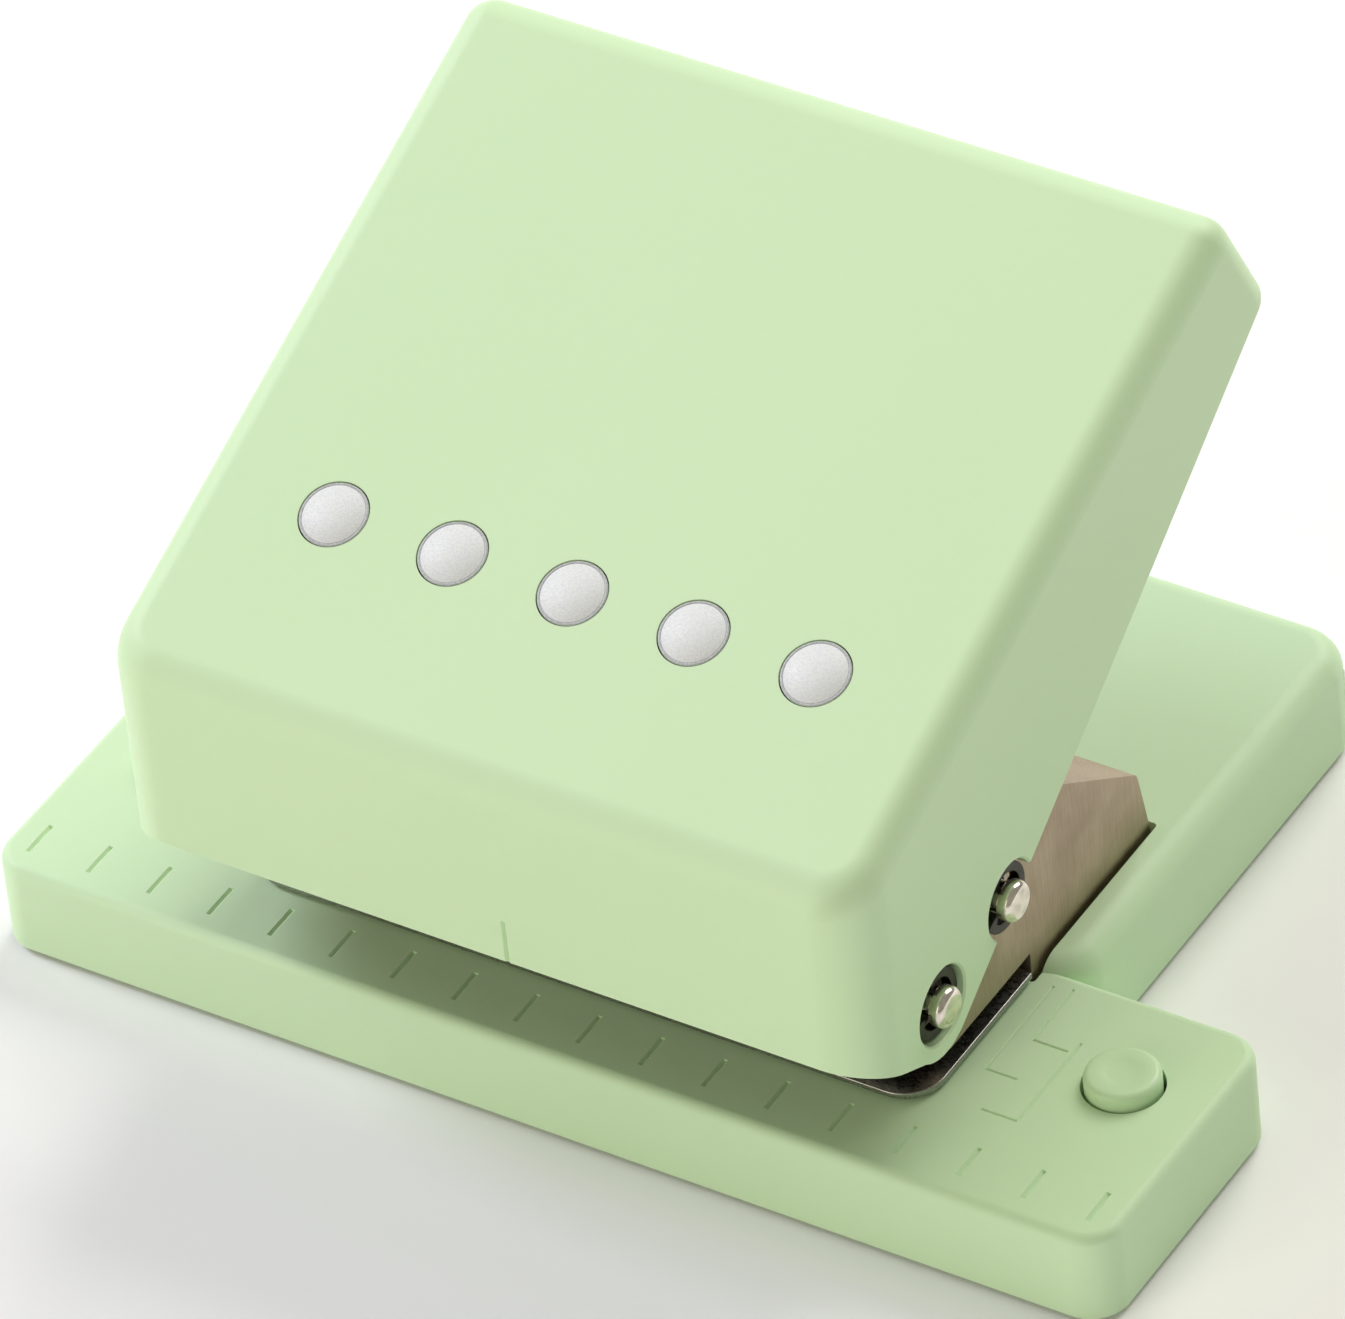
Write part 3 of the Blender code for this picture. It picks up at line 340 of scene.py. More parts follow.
@dataclass(frozen=True)
class TurnedSteel:
    """Bright plated or ground steel with fine turning marks.

    Attributes:
        name: Material name.
        colour: Metal colour.
        roughness: Mean roughness.
        marks: Stretch of the marks along X, Y and Z.
    """

    name: str
    colour: Colour
    roughness: float
    marks: tuple[float, float, float] = (1.0, 0.1, 0.1)

    def make(self) -> bpy.types.Material:
        """Build the material.

        Returns:
            The material.
        """
        sheet = ShaderSheet(self.name)
        sheet.fix(Metallic=1.0)
        ring = sheet.noise(9.0, 2.0, self.marks)
        tone = sheet.noise(1.2, 3.0)
        dull = tuple(c * 0.72 for c in self.colour)
        colour = sheet.blend(sheet.spread(tone, 0.42, 0.7), self.colour, dull)
        rough = sheet.spread(ring, 0.3, 0.7, max(0.04, self.roughness - 0.06), self.roughness + 0.08)
        return sheet.dress(colour, rough, sheet.bump(ring, 0.002))


@dataclass(frozen=True)
class PrintedInlay:
    """Light inlay with a fine speckle. In dark grey the same finish serves as painted shade for the narrow
    gap round an inlay.

    Attributes:
        name: Material name.
        colour: Mean colour.
        fleck: Colour of the specks.
        roughness: Mean roughness.
    """

    name: str
    colour: Colour
    fleck: Colour
    roughness: float = 0.5

    def make(self) -> bpy.types.Material:
        """Build the material.

        Returns:
            The material.
        """
        sheet = ShaderSheet(self.name)
        sheet.fix(Specular_IOR_Level=0.4)
        speck = sheet.noise(7.0, 1.0)
        colour = sheet.blend(sheet.spread(speck, 0.42, 0.62), self.colour, self.fleck)
        rough = sheet.spread(speck, 0.3, 0.7, self.roughness - 0.08, self.roughness + 0.1)
        return sheet.dress(colour, rough, sheet.bump(speck, 0.006))


@dataclass(frozen=True)
class PadRubber:
    """Matte rubber with a fine pebble and a trace of dust.

    Attributes:
        name: Material name.
        colour: Rubber colour.
        dust: Colour where dust sits.
    """

    name: str
    colour: Colour
    dust: Colour

    def make(self) -> bpy.types.Material:
        """Build the material.

        Returns:
            The material.
        """
        sheet = ShaderSheet(self.name)
        sheet.fix(Specular_IOR_Level=0.3)
        pebble = sheet.noise(2.6, 2.0)
        film = sheet.noise(0.5, 4.0)
        colour = sheet.blend(sheet.spread(film, 0.45, 0.75), self.colour, self.dust)
        rough = sheet.spread(pebble, 0.3, 0.7, 0.72, 0.92)
        return sheet.dress(colour, rough, sheet.bump(pebble, 0.02))


class Palette:
    """All finishes of the punch, each made once."""

    def __init__(self) -> None:
        """Make the materials."""
        self.cover = MouldedPlastic("cover_green", (0.605, 0.800, 0.505), (0.590, 0.790, 0.490)).make()
        self.base = MouldedPlastic("base_green", (0.605, 0.805, 0.525), (0.590, 0.790, 0.508), 0.52).make()
        self.peg = MouldedPlastic("peg_green", (0.590, 0.795, 0.505), (0.570, 0.775, 0.485), 0.42).make()
        self.tray = MouldedPlastic("tray_green", (0.540, 0.740, 0.460), (0.520, 0.720, 0.440), 0.55).make()
        self.walls = PlatedSheet("frame_plating", (0.47, 0.37, 0.285), (0.39, 0.30, 0.225),
                                 roughness=0.44).make()
        self.web = PlatedSheet("lever_plating", (0.50, 0.48, 0.44), (0.34, 0.32, 0.28),
                               along=(1, 0.05, 1)).make()
        self.die = PlatedSheet("die_plating", (0.40, 0.40, 0.38), (0.33, 0.33, 0.31), along=(0.4, 1, 1),
                               roughness=0.3, relief=0.001).make()
        self.pin = TurnedSteel("pin_plating", (0.86, 0.80, 0.70), 0.17).make()
        self.clip = TurnedSteel("clip_black_oxide", (0.055, 0.050, 0.045), 0.38).make()
        self.punch = TurnedSteel("punch_ground", (0.72, 0.71, 0.69), 0.16, (0.1, 0.1, 1.0)).make()
        self.wire = TurnedSteel("spring_wire", (0.58, 0.57, 0.55), 0.25, (0.5, 0.5, 1.0)).make()
        self.screw = TurnedSteel("screw_zinc", (0.66, 0.66, 0.63), 0.24, (1.0, 1.0, 0.2)).make()
        self.inlay = PrintedInlay("dot_inlay", (0.735, 0.760, 0.745), (0.66, 0.69, 0.70)).make()
        # rim: dark grey painted shade standing for the narrow gap round each inlay, not a printed ring.
        self.rim = PrintedInlay("dot_gap_painted_shade", (0.40, 0.42, 0.42), (0.50, 0.53, 0.53), 0.4).make()
        self.rubber = PadRubber("foot_rubber", (0.045, 0.046, 0.048), (0.10, 0.10, 0.095)).make()


# ---------------------------------------------------------------------------------------------------------
# Outlines


def arc(centre: Point, radius: float, start: float, stop: float, steps: int) -> list[Point]:
    """Points on an arc, both ends included.

    Args:
        centre: Centre of the arc.
        radius: Its radius.
        start: First angle in degrees.
        stop: Last angle in degrees.
        steps: Number of chords.

    Returns:
        The points, in order.
    """
    turn = [math.radians(start + (stop - start) * i / steps) for i in range(steps + 1)]
    return [(centre[0] + radius * math.cos(a), centre[1] + radius * math.sin(a)) for a in turn]


def softened(corners: Sequence[tuple[float, float, float]], steps: int = 6) -> list[Point]:
    """A polygon with round corners.

    Args:
        corners: Corner coordinates with the radius wanted at each one.
        steps: Chords on each round corner.

    Returns:
        The outline.
    """
    points: list[Point] = []
    for index, (a, b, radius) in enumerate(corners):
        if radius <= 0:
            points.append((a, b))
            continue
        here = Vector((a, b))
        back = (Vector(corners[index - 1][:2]) - here).normalized()
        on = (Vector(corners[(index + 1) % len(corners)][:2]) - here).normalized()
        half = back.angle(on) / 2
        centre = here + (back + on).normalized() * (radius / math.sin(half))
        first = here + back * (radius / math.tan(half)) - centre
        last = here + on * (radius / math.tan(half)) - centre
        start = math.atan2(first.y, first.x)
        sweep = (math.atan2(last.y, last.x) - start + math.pi) % (2 * math.pi) - math.pi
        points += [(centre.x + radius * math.cos(start + sweep * i / steps),
                    centre.y + radius * math.sin(start + sweep * i / steps)) for i in range(steps + 1)]
    return points


def round_rectangle(low: Point, high: Point, radius: float, steps: int = 8) -> list[Point]:
    """A rectangle with four round corners."""
    corners = ((low[0], low[1]), (high[0], low[1]), (high[0], high[1]), (low[0], high[1]))
    return softened([(a, b, radius) for a, b in corners], steps)


# ---------------------------------------------------------------------------------------------------------
# Solids


class Solid:
    """A closed body in millimetres while it is being shaped."""

    def __init__(self, shape: bmesh.types.BMesh) -> None:
        """Wrap a mesh being edited."""
        self.shape = shape

    @classmethod
    def prism(cls, outline: Sequence[Point], low: float, high: float, axis: Axis = Axis.X) -> "Solid":
        """Extrude an outline.

        Args:
            outline: Points in (Y, Z) for the X axis or (X, Y) for the Z axis.
            low: Where the extrusion starts.
            high: Where it ends.
            axis: Direction of the extrusion.

        Returns:
            The solid.
        """
        shape = bmesh.new()
        along_x = axis is Axis.X
        ring = [shape.verts.new((low, a, b) if along_x else (a, b, low)) for a, b in outline]
        grown = bmesh.ops.extrude_face_region(shape, geom=[shape.faces.new(ring)])
        moved = [v for v in grown["geom"] if isinstance(v, bmesh.types.BMVert)]
        step = (high - low, 0, 0) if along_x else (0, 0, high - low)
        bmesh.ops.translate(shape, verts=moved, vec=step)
        bmesh.ops.recalc_face_normals(shape, faces=shape.faces)
        return cls(shape)

    @classmethod
    def block(cls, low: Sequence[float], high: Sequence[float]) -> "Solid":
        """A rectangular block between two corners."""
        outline = [(low[0], low[1]), (high[0], low[1]), (high[0], high[1]), (low[0], high[1])]
        return cls.prism(outline, low[2], high[2], Axis.Z)

    @classmethod
    def turned(cls, profile: Sequence[Point], axis: Axis = Axis.Z, steps: int = 56) -> "Solid":
        """Spin a half profile about an axis through the origin.

        Args:
            profile: Points of (radius, distance along the axis). It starts and ends on the axis.
            axis: Axis of the spin.
            steps: Chords round the axis.

        Returns:
            The solid.
        """
        shape = bmesh.new()
        rings = []
        for radius, along in profile:
            count = 1 if radius < 1e-6 else steps
            ring = []
            for i in range(count):
                a = 2 * math.pi * i / steps
                across = (radius * math.cos(a), radius * math.sin(a))
                ring.append(shape.verts.new((*across, along) if axis is Axis.Z else (along, *across)))
            rings.append(ring)
        for one, two in zip(rings, rings[1:]):
            for i in range(steps):
                j = (i + 1) % steps
                corners = [one[i % len(one)], one[j % len(one)], two[j % len(two)], two[i % len(two)]]
                unique = list(dict.fromkeys(corners))
                if len(unique) > 2:
                    shape.faces.new(unique)
        bmesh.ops.recalc_face_normals(shape, faces=shape.faces)
        return cls(shape)

    @classmethod
    def rod(cls, radius: float, low: float, high: float, axis: Axis = Axis.Z, steps: int = 48) -> "Solid":
        """A plain round cutter or boss from low to high along an axis through the origin."""
        return cls.turned([(0, low), (radius, low), (radius, high), (0, high)], axis, steps)

    @classmethod
    def swept(cls, path: Sequence[Vector], radius: float, sides: int = 10) -> "Solid":
        """A round wire along a path that never runs straight up.

        Args:
            path: Points on the wire's centre line.
            radius: Radius of the wire.
            sides: Sides of the wire's section.

        Returns:
            The solid.
        """
        shape = bmesh.new()
        rings = []
        for index, centre in enumerate(path):
            before, after = path[max(index - 1, 0)], path[min(index + 1, len(path) - 1)]
            onward = (after - before).normalized()
            out = onward.cross(Vector((0, 0, 1))).normalized()
            up = out.cross(onward).normalized()
            turn = [2 * math.pi * k / sides for k in range(sides)]
            rings.append([shape.verts.new(centre + radius * (out * math.cos(b) + up * math.sin(b)))
                          for b in turn])
        for one, two in zip(rings, rings[1:]):
            for k in range(sides):
                shape.faces.new((one[k], one[(k + 1) % sides], two[(k + 1) % sides], two[k]))
        for ring, nearer in ((rings[0], path[0] - path[1]), (rings[-1], path[-1] - path[-2])):
            middle = sum((v.co for v in ring), Vector()) / sides
            tip = shape.verts.new(middle + nearer.normalized() * radius * 0.5)
            for k in range(sides):
                shape.faces.new((ring[k], ring[(k + 1) % sides], tip))
        bmesh.ops.recalc_face_normals(shape, faces=shape.faces)
        return cls(shape)

    def at(self, x: float, y: float, z: float) -> "Solid":
        """Move the solid."""
        bmesh.ops.translate(self.shape, verts=self.shape.verts, vec=(x, y, z))
        return self

    def under(self, matrix: Matrix) -> "Solid":
        """Move and turn the solid by a matrix."""
        bmesh.ops.transform(self.shape, matrix=matrix, verts=self.shape.verts)
        return self

    def rounded(self, chosen: Callable[[bmesh.types.BMEdge], bool], radius: float, steps: int = 8) -> "Solid":
        """Round the edges that a test picks.

        Args:
            chosen: True for an edge to round.
            radius: Radius of the rounding.
            steps: Facets across it.

        Returns:
            The same solid.
        """
        edges = [edge for edge in self.shape.edges if chosen(edge)]
        bmesh.ops.bevel(self.shape, geom=edges, offset=radius, segments=steps, profile=0.5, affect="EDGES",
                        clamp_overlap=True)
        return self

    def eased(self, radius: float, steps: int = 3, angle: float = 50.0) -> "Solid":
        """Break every edge sharper than an angle in degrees."""
        limit = math.radians(angle)
        return self.rounded(lambda e: len(e.link_faces) == 2 and e.calc_face_angle(0) > limit, radius, steps)

    def _as_object(self, name: str) -> bpy.types.Object:
        """Put the shape in a scene object.

        Args:
            name: Name of the object and its mesh.

        Returns:
            The object.
        """
        mesh = bpy.data.meshes.new(name)
        self.shape.to_mesh(mesh)
        made = bpy.data.objects.new(name, mesh)
        bpy.context.scene.collection.objects.link(made)
        return made

    def _worked(self, tools: Iterable["Solid"], operation: str) -> "Solid":
        """Join or cut with tools that don't touch each other.

        Args:
            tools: Solids to join or cut with.
            operation: Name of the Boolean operation.

        Returns:
            The same solid.
        """
        both = bmesh.new()
        for tool in tools:
            spare = bpy.data.meshes.new("spare")
            tool.shape.to_mesh(spare)
            both.from_mesh(spare)
            tool.shape.free()
            bpy.data.meshes.remove(spare)
        target = self._as_object("blank")
        cutter = Solid(both)._as_object("cutter")
        step = target.modifiers.new("step", "BOOLEAN")
        step.operation = operation
        step.solver = "EXACT"
        step.object = cutter
        graph = bpy.context.evaluated_depsgraph_get()
        result = bpy.data.meshes.new_from_object(target.evaluated_get(graph))
        self.shape.clear()
        self.shape.from_mesh(result)
        bmesh.ops.remove_doubles(self.shape, verts=self.shape.verts, dist=WELD)
        both.free()
        for spent in (target, cutter):
            mesh = spent.data
            bpy.data.objects.remove(spent)
            bpy.data.meshes.remove(mesh)
        bpy.data.meshes.remove(result)
        return self

    def cut(self, *tools: "Solid") -> "Solid":
        """Cut tools away."""
        return self._worked(tools, "DIFFERENCE")

    def add(self, *tools: "Solid") -> "Solid":
        """Grow by tools."""
        return self._worked(tools, "UNION")

    def piece(self, name: str, body: str, slot: Slot, *materials: bpy.types.Material,
              angle: float = 32.0, stands_for: Sequence[str] | None = None) -> bpy.types.Object:
        """Finish the solid as a piece of the punch.

        Args:
            name: Name of the piece. With no stands_for it is the CAD node's name with _look added.
            body: CAD body that it rides on.
            slot: Material slot of the record. Not used.
            *materials: Its materials.
            angle: Edges sharper than this stay crisp.
            stands_for: CAD nodes that it replaces.

        Returns:
            The new object.
        """
        bmesh.ops.scale(self.shape, vec=(MM, MM, MM), verts=self.shape.verts)
        made = self._as_object(f"{name}_look")
        self.shape.free()
        made.data.shade_smooth()
        made.data.set_sharp_from_angle(angle=math.radians(angle))
        flat = made.modifiers.new("even_faces", "WEIGHTED_NORMAL")
        flat.keep_sharp = True
        flat.weight = 100
        for material in materials:
            made.data.materials.append(material)
        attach(made, body)
        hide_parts(*(stands_for or [name]))
        LOG.info("%s: %d faces on %s", made.name, len(made.data.polygons), body)
        return made


def coil(radius: float, wire: float, low: float, high: float, turns: float, steps: int = 30) -> Solid:
    """A compression spring with closed, nearly flat ends.

    Args:
        radius: Radius of the wire's centre line.
        wire: Radius of the wire.
        low: Bottom of the spring.
        high: Top of the spring.
        turns: Number of turns.
        steps: Points in each turn.

    Returns:
        The spring, standing on the Z axis.
    """
    dead = 0.75
    count = int(turns * steps)
    path = []
    for i in range(count + 1):
        turn = turns * i / count
        start = min(turn, dead) / dead
        stop = max(turn - (turns - dead), 0) / dead
        climb = min(max((turn - dead) / (turns - 2 * dead), 0), 1)
        closed = 2.2 * wire
        z = low + wire + closed * 0.5 * start + (high - low - 2 * wire - closed) * climb + closed * 0.5 * stop
        a = 2 * math.pi * turn
        path.append(Vector((radius * math.cos(a), radius * math.sin(a), z)))
    return Solid.swept(path, wire)


def both_sides(make: Callable[[int], Solid]) -> list[Solid]:
    """The solids that make() gives for the left and the right side."""
    return [make(side.value) for side in Side]


def box_of(node: str) -> tuple[Vector, Vector]:
    """Corners of a CAD node in millimetres."""
    low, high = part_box(node)
    return low / MM, high / MM


def middle_of(node: str) -> Vector:
    """Centre of a CAD node's box in millimetres."""
    low, high = box_of(node)
    return (low + high) / 2


# ---------------------------------------------------------------------------------------------------------
# Places shared by the sub-assemblies


@dataclass(frozen=True)
class Datum:
    """Places read from the frame, in millimetres.

    Attributes:
        front: Y of the ruler strip's front.
        rear: Y of the body's rear.
        columns: X of the five punches.
        row: Y of the punches and pegs.
        hinge: The lever's hinge.
        tilt: Angle of the cover's top at rest.
        drive: U and N of the drive pin.
    """

    front: float
    rear: float
    columns: tuple[float, ...]
    row: float
    hinge: Vector
    tilt: float
    drive: Point

    @classmethod
    def read(cls) -> "Datum":
        """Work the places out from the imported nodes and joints.

        Returns:
            The places.
        """
        low, high = box_of("base_shell")
        hinge = next(Vector(j["pos_m"]) / MM for j in frame["joints"] if j["name"] == "lever_hinge")
        near, far = middle_of("cover_screw_1"), middle_of("cover_screw_2")
        tilt = math.atan2(far.z - near.z, far.y - near.y)
        pin = Matrix.Rotation(-tilt, 3, "X") @ (middle_of("drive_pin") - hinge)
        punches = [middle_of(f"punch_{number}") for number in range(1, 6)]
        return cls(low.y, high.y, tuple(p.x for p in punches), punches[0].y, hinge, tilt, (pin.y, pin.z))

    def y(self, from_front: float) -> float:
        """World Y of a distance behind the strip's front."""
        return self.front + from_front

    @property
    def lever(self) -> Matrix:
        """Turns (X, U, N) of the lever into world places."""
        return Matrix.Translation(self.hinge) @ Matrix.Rotation(self.tilt, 4, "X")

    def on_lever(self, node: str) -> Vector:
        """X, U and N of the middle of a CAD node."""
        return Matrix.Rotation(-self.tilt, 3, "X") @ (middle_of(node) - self.hinge)


# ---------------------------------------------------------------------------------------------------------
# Base


@dataclass
class BaseShell:
    """The T-shaped moulding with the ruler strip, pocket, tray rails, bosses and feet blocks.

    Attributes:
        strip_depth: Depth of the ruler strip.
        strip_top: Height of its top.
        strip_corner: Plan radius of its corners.
        strip_round: Rounding of its top edge.
        wall: Wall thickness.
        floor_gap: Height of the moulding's lower edge.
        body_width: Width of the body behind the strip.
        body_corner: Plan radius of the body's corners.
        body_round: Rounding of its top edge.
        overlap: How far the body's block reaches into the strip.
        pocket_floor: Height of the pocket that the frame stands in.
        slab: Thickness of the pocket's floor.
        tick_pitch: Distance between ruler marks.
        tick_count: Number of ruler marks.
        tick_start: Distance of the marks from the strip's front.
        tick_length: Length of a mark.
        groove: Half width of a mark at the surface.
        groove_depth: Depth of a mark.
        guide_share: Width and depth of a corner mark, as a share of a ruler mark's.
        bury: How deep a grown part reaches into the wall that it grows from.
        rail_gap: Clearance between the tray and its rails.
        rail_width: Thickness of a rail.
        rail_lip: How far a rail's foot reaches under the tray.
        rib_places: Distances of the body's stiffening ribs from the strip's front.
        rib_low: Height of their lower edge.
        foot_block: Width of the wall round a foot's seat.
        boss: Outer radius of a peg's boss.
        well: Radius of the space for a peg's spring.
        peg_hole: Radius of the hole that a peg comes through.
        chip_hole: Radius of the holes that the chips fall through.
        pocket_gap: Clearance of the pocket at the frame's sides.
        seat_gap: Clearance round a foot.
    """

    datum: Datum
    strip_depth: float = 22.8
    strip_top: float = 7.8
    strip_corner: float = 2.8
    strip_round: float = 0.8
    wall: float = 1.8
    floor_gap: float = 0.5
    body_width: float = 60.4
    body_corner: float = 4.0
    body_round: float = 1.9
    overlap: float = 1.3
    pocket_floor: float = 6.3
    slab: float = 1.4
    tick_pitch: float = 5.0
    tick_count: int = 18
    tick_start: float = 2.0
    tick_length: float = 3.0
    groove: float = 0.20
    groove_depth: float = 0.20
    guide_share: float = 0.6
    bury: float = 0.6
    rail_gap: float = 0.3
    rail_width: float = 1.4
    rail_lip: float = 1.6
    rib_places: tuple[float, ...] = (43.0, 48.5, 54.0)
    rib_low: float = 5.35
    foot_block: float = 0.75
    boss: float = 5.4
    well: float = 4.0
    peg_hole: float = 2.95
    chip_hole: float = 3.4
    pocket_gap: float = 0.35
    seat_gap: float = 0.15

    @property
    def rail(self) -> float:
        """X of the rails' inner faces."""
        return box_of("chip_tray")[1].x + self.rail_gap

    def rounded_block(self, low: Sequence[float], high: Sequence[float], corner: float, edge: float) -> Solid:
        """A block with round upright corners and a rounded top edge."""
        block = Solid.prism(round_rectangle(low, high, corner, 10), low[2], high[2], Axis.Z)
        return block.rounded(lambda e: all(abs(v.co.z - high[2]) < NEAR for v in e.verts), edge, 7)

    def outside(self) -> Solid:
        """The strip and the body in one, still solid.

        Returns:
            The solid.
        """
        low, high = box_of("base_shell")
        strip = self.rounded_block((low.x, low.y, self.floor_gap),
                                   (high.x, self.datum.y(self.strip_depth), self.strip_top),
                                   self.strip_corner, self.strip_round)
        half = self.body_width / 2
        body = self.rounded_block((-half, self.datum.y(self.strip_depth - self.overlap), self.floor_gap),
                                  (half, high.y, high.z), self.body_corner, self.body_round)
        return strip.add(body)

    def hollow(self, shell: Solid) -> None:
        """Take out the space under the strip and the body.

        Args:
            shell: The base being shaped.
        """
        low, high = box_of("base_shell")
        half, at, wall = self.body_width / 2, self.datum.y, self.wall
        strip = round_rectangle((low.x + wall, at(wall)),
                                (high.x - wall, at(self.strip_depth - wall)), 1.2, 5)
        shell.cut(Solid.prism(strip, -1.0, self.strip_top - wall, Axis.Z))
        body = round_rectangle((-half + wall, at(self.strip_depth - wall - 2.0)),
                               (half - wall, high.y - wall), 2.2, 6)
        shell.cut(Solid.prism(body, -2.0, high.z - wall, Axis.Z))

    def side_block(self, side: int, across: Point, along: Point, heights: Point) -> Solid:
        """A block on one side.

        Args:
            side: -1 for the left, 1 for the right.
            across: Its |X| span.
            along: Its span behind the strip's front.
            heights: Its lower and upper height.

        Returns:
            The block.
        """
        xs = sorted((side * across[0], side * across[1]))
        return Solid.block((xs[0], self.datum.y(along[0]), heights[0]),
                           (xs[1], self.datum.y(along[1]), heights[1]))

    def inner_parts(self, shell: Solid) -> None:
        """Grow the pocket's slab, the tray's rails, stiffening ribs, foot blocks and peg bosses.

        Args:
            shell: The base being shaped.
        """
        low, high = box_of("base_shell")
        half, bury, rail = self.body_width / 2, self.bury, self.rail
        frame_rear, depth = box_of("punch_frame")[1].y, high.y - low.y
        shell.add(Solid.block((-half + self.wall - bury, frame_rear - 17.9, self.pocket_floor - self.slab),
                              (half - self.wall + bury, frame_rear + 1.9, high.z - 2 * bury)))
        along = (self.wall - bury, depth - self.wall + bury)
        shell.add(*both_sides(lambda side: self.side_block(
            side, (rail, rail + self.rail_width), along, (0.7, self.strip_top - bury))))
        along = (4.0, depth - self.wall + 0.3)
        shell.add(*both_sides(lambda side: self.side_block(
            side, (rail - self.rail_lip, rail + bury), along, (0.7, 1.3))))
        reach, roof = rail + 0.5, high.z - self.wall + bury
        shell.add(*[Solid.block((-reach, self.datum.y(y), self.rib_low), (reach, self.datum.y(y + 1.0), roof))
                    for y in self.rib_places])
        shell.add(*self.foot_blocks())
        shell.add(*[Solid.rod(self.boss, 0.8, self.strip_top - 0.72).at(x, y, 0) for x, y in self.pegs()])
        shell.add(*self.boss_webs())

    def foot_blocks(self) -> list[Solid]:
        """The blocks that the feet's seats are cut in.

        Returns:
            One block for each foot.
        """
        wall, blocks = self.foot_block, []
        for node in Feet.nodes():
            low, high = box_of(node)
            blocks.append(Solid.block((low.x - wall, low.y - wall, self.floor_gap + 0.1),
                                      (high.x + wall, high.y + wall, self.strip_top - 0.9)))
        return blocks

    def boss_webs(self) -> list[Solid]:
        """The webs that tie the peg bosses to the strip's rear wall and to the rails.

        Returns:
            Two webs for each boss.
        """
        webs = []
        for x, y in self.pegs():
            side = math.copysign(1, x)
            rear = self.datum.y(self.strip_depth - 1.2)
            webs.append(Solid.block((x - 0.5, y + 4.6, 2.4), (x + 0.5, rear, 6.4)))
            inner = sorted((x - side * 4.6, side * (self.rail + 0.9)))
            webs.append(Solid.block((inner[0], y - 0.5, 2.4), (inner[1], y + 0.5, 6.4)))
        return webs

    def pegs(self) -> list[Point]:
        """X and Y of the two peg bosses."""
        return [tuple(middle_of(f"peg_{side.word}"))[:2] for side in Side]

    def countersink(self, node: str, bottom: float) -> Solid:
        """The hole for a flat-head screw driven upwards.

        Args:
            node: The screw's node.
            bottom: Height that the head is level with.

        Returns:
            The cutter.
        """
        spot = middle_of(node)
        profile = [(0, bottom - 1), (2.2, bottom - 1), (2.2, bottom), (1.3, bottom + 1), (1.3, bottom + 3.5),
                   (0, bottom + 3.5)]
        return Solid.turned(profile, steps=36).at(spot.x, spot.y, 0)

    def openings(self, shell: Solid) -> None:
        """Cut the pocket, the tray's doorway, the feet's seats, the bores and the screw holes.

        Args:
            shell: The base being shaped.
        """
        frame_high, tray_high = box_of("punch_frame")[1], box_of("chip_tray")[1]
        rear, side = self.datum.rear, frame_high.x + self.pocket_gap
        pocket = round_rectangle((-side, frame_high.y - 16.6), (side, frame_high.y + 0.5), 0.3, 4)
        shell.cut(Solid.prism(pocket, self.pocket_floor, 12.0, Axis.Z))
        shell.cut(Solid.block((-self.rail, rear - self.wall - 1, -1),
                              (self.rail, rear + 1, tray_high.z + self.rail_gap)))
        gap, seats = self.seat_gap, []
        for node in Feet.nodes():
            low, high = box_of(node)
            seat = round_rectangle((low.x - gap, low.y - gap), (high.x + gap, high.y + gap), 1.1, 5)
            seats.append(Solid.prism(seat, -1.0, high.z + 0.3, Axis.Z))
        shell.cut(*seats)
        under = self.strip_top - self.wall
        shell.cut(*[Solid.rod(self.well, -1.0, under).at(x, y, 0) for x, y in self.pegs()])
        holes = [Solid.rod(self.peg_hole, 5.0, 9.0).at(x, y, 0) for x, y in self.pegs()]
        holes += [Solid.rod(self.chip_hole, 5.0, 9.0).at(x, self.datum.row, 0) for x in self.datum.columns]
        shell.cut(*holes)
        shell.cut(*[self.countersink(f"die_screw_{n}", under) for n in (1, 2)])
        shell.cut(*[self.countersink(f"frame_screw_{n}", self.pocket_floor - self.slab) for n in range(1, 5)])

    def scribe(self, length: float, x: float, y: float, across: bool = False, share: float = 1.0) -> Solid:
        """A V-groove cutter in the strip's top.

        Args:
            length: Length of the groove.
            x: Where it starts.
            y: Where it starts, in world Y.
            across: Whether it runs to the right, and not to the rear.
            share: Its width and depth, as a share of a ruler mark's.

        Returns:
            The cutter.
        """
        half, depth = self.groove * share, self.groove_depth * share
        section = [(-half * 2, half), (0, -depth), (half * 2, half)]
        line = Solid.prism(section, 0, length, Axis.X)
        if not across:
            line.under(Matrix.Rotation(math.pi / 2, 4, "Z"))
        return line.at(x, y, self.strip_top)

    def ruler(self, shell: Solid) -> None:
        """Engrave the ruler marks along the strip's front.

        Args:
            shell: The base being shaped.
        """
        first = -self.tick_pitch * (self.tick_count - 1) / 2
        shell.cut(*[self.scribe(self.tick_length, first + self.tick_pitch * i, self.datum.y(self.tick_start))
                    for i in range(self.tick_count)])

    def paper_guides(self, shell: Solid) -> None:
        """Engrave three corner marks, plain stand-ins for paper size guides, beside the die plate.

        Args:
            shell: The base being shaped.
        """
        long_marks = ((28.8, 12.0, 9.2), (30.2, 15.9, 5.6), (33.4, 8.4, 8.6))
        short_marks = ((28.8, 12.0, 2.5), (30.2, 15.9, 2.8), (30.6, 8.4, 2.8))
        for marks, across in ((long_marks, False), (short_marks, True)):
            shell.cut(*[self.scribe(length, x, self.datum.y(y), across, self.guide_share)
                        for x, y, length in marks])

    def build(self, palette: Palette) -> None:
        """Make the shell.

        Args:
            palette: The punch's finishes.
        """
        shell = self.outside()
        self.hollow(shell)
        self.inner_parts(shell)
        self.openings(shell)
        self.ruler(shell)
        self.paper_guides(shell)
        shell.piece("base_shell", "base", Slot.GREEN, palette.base)


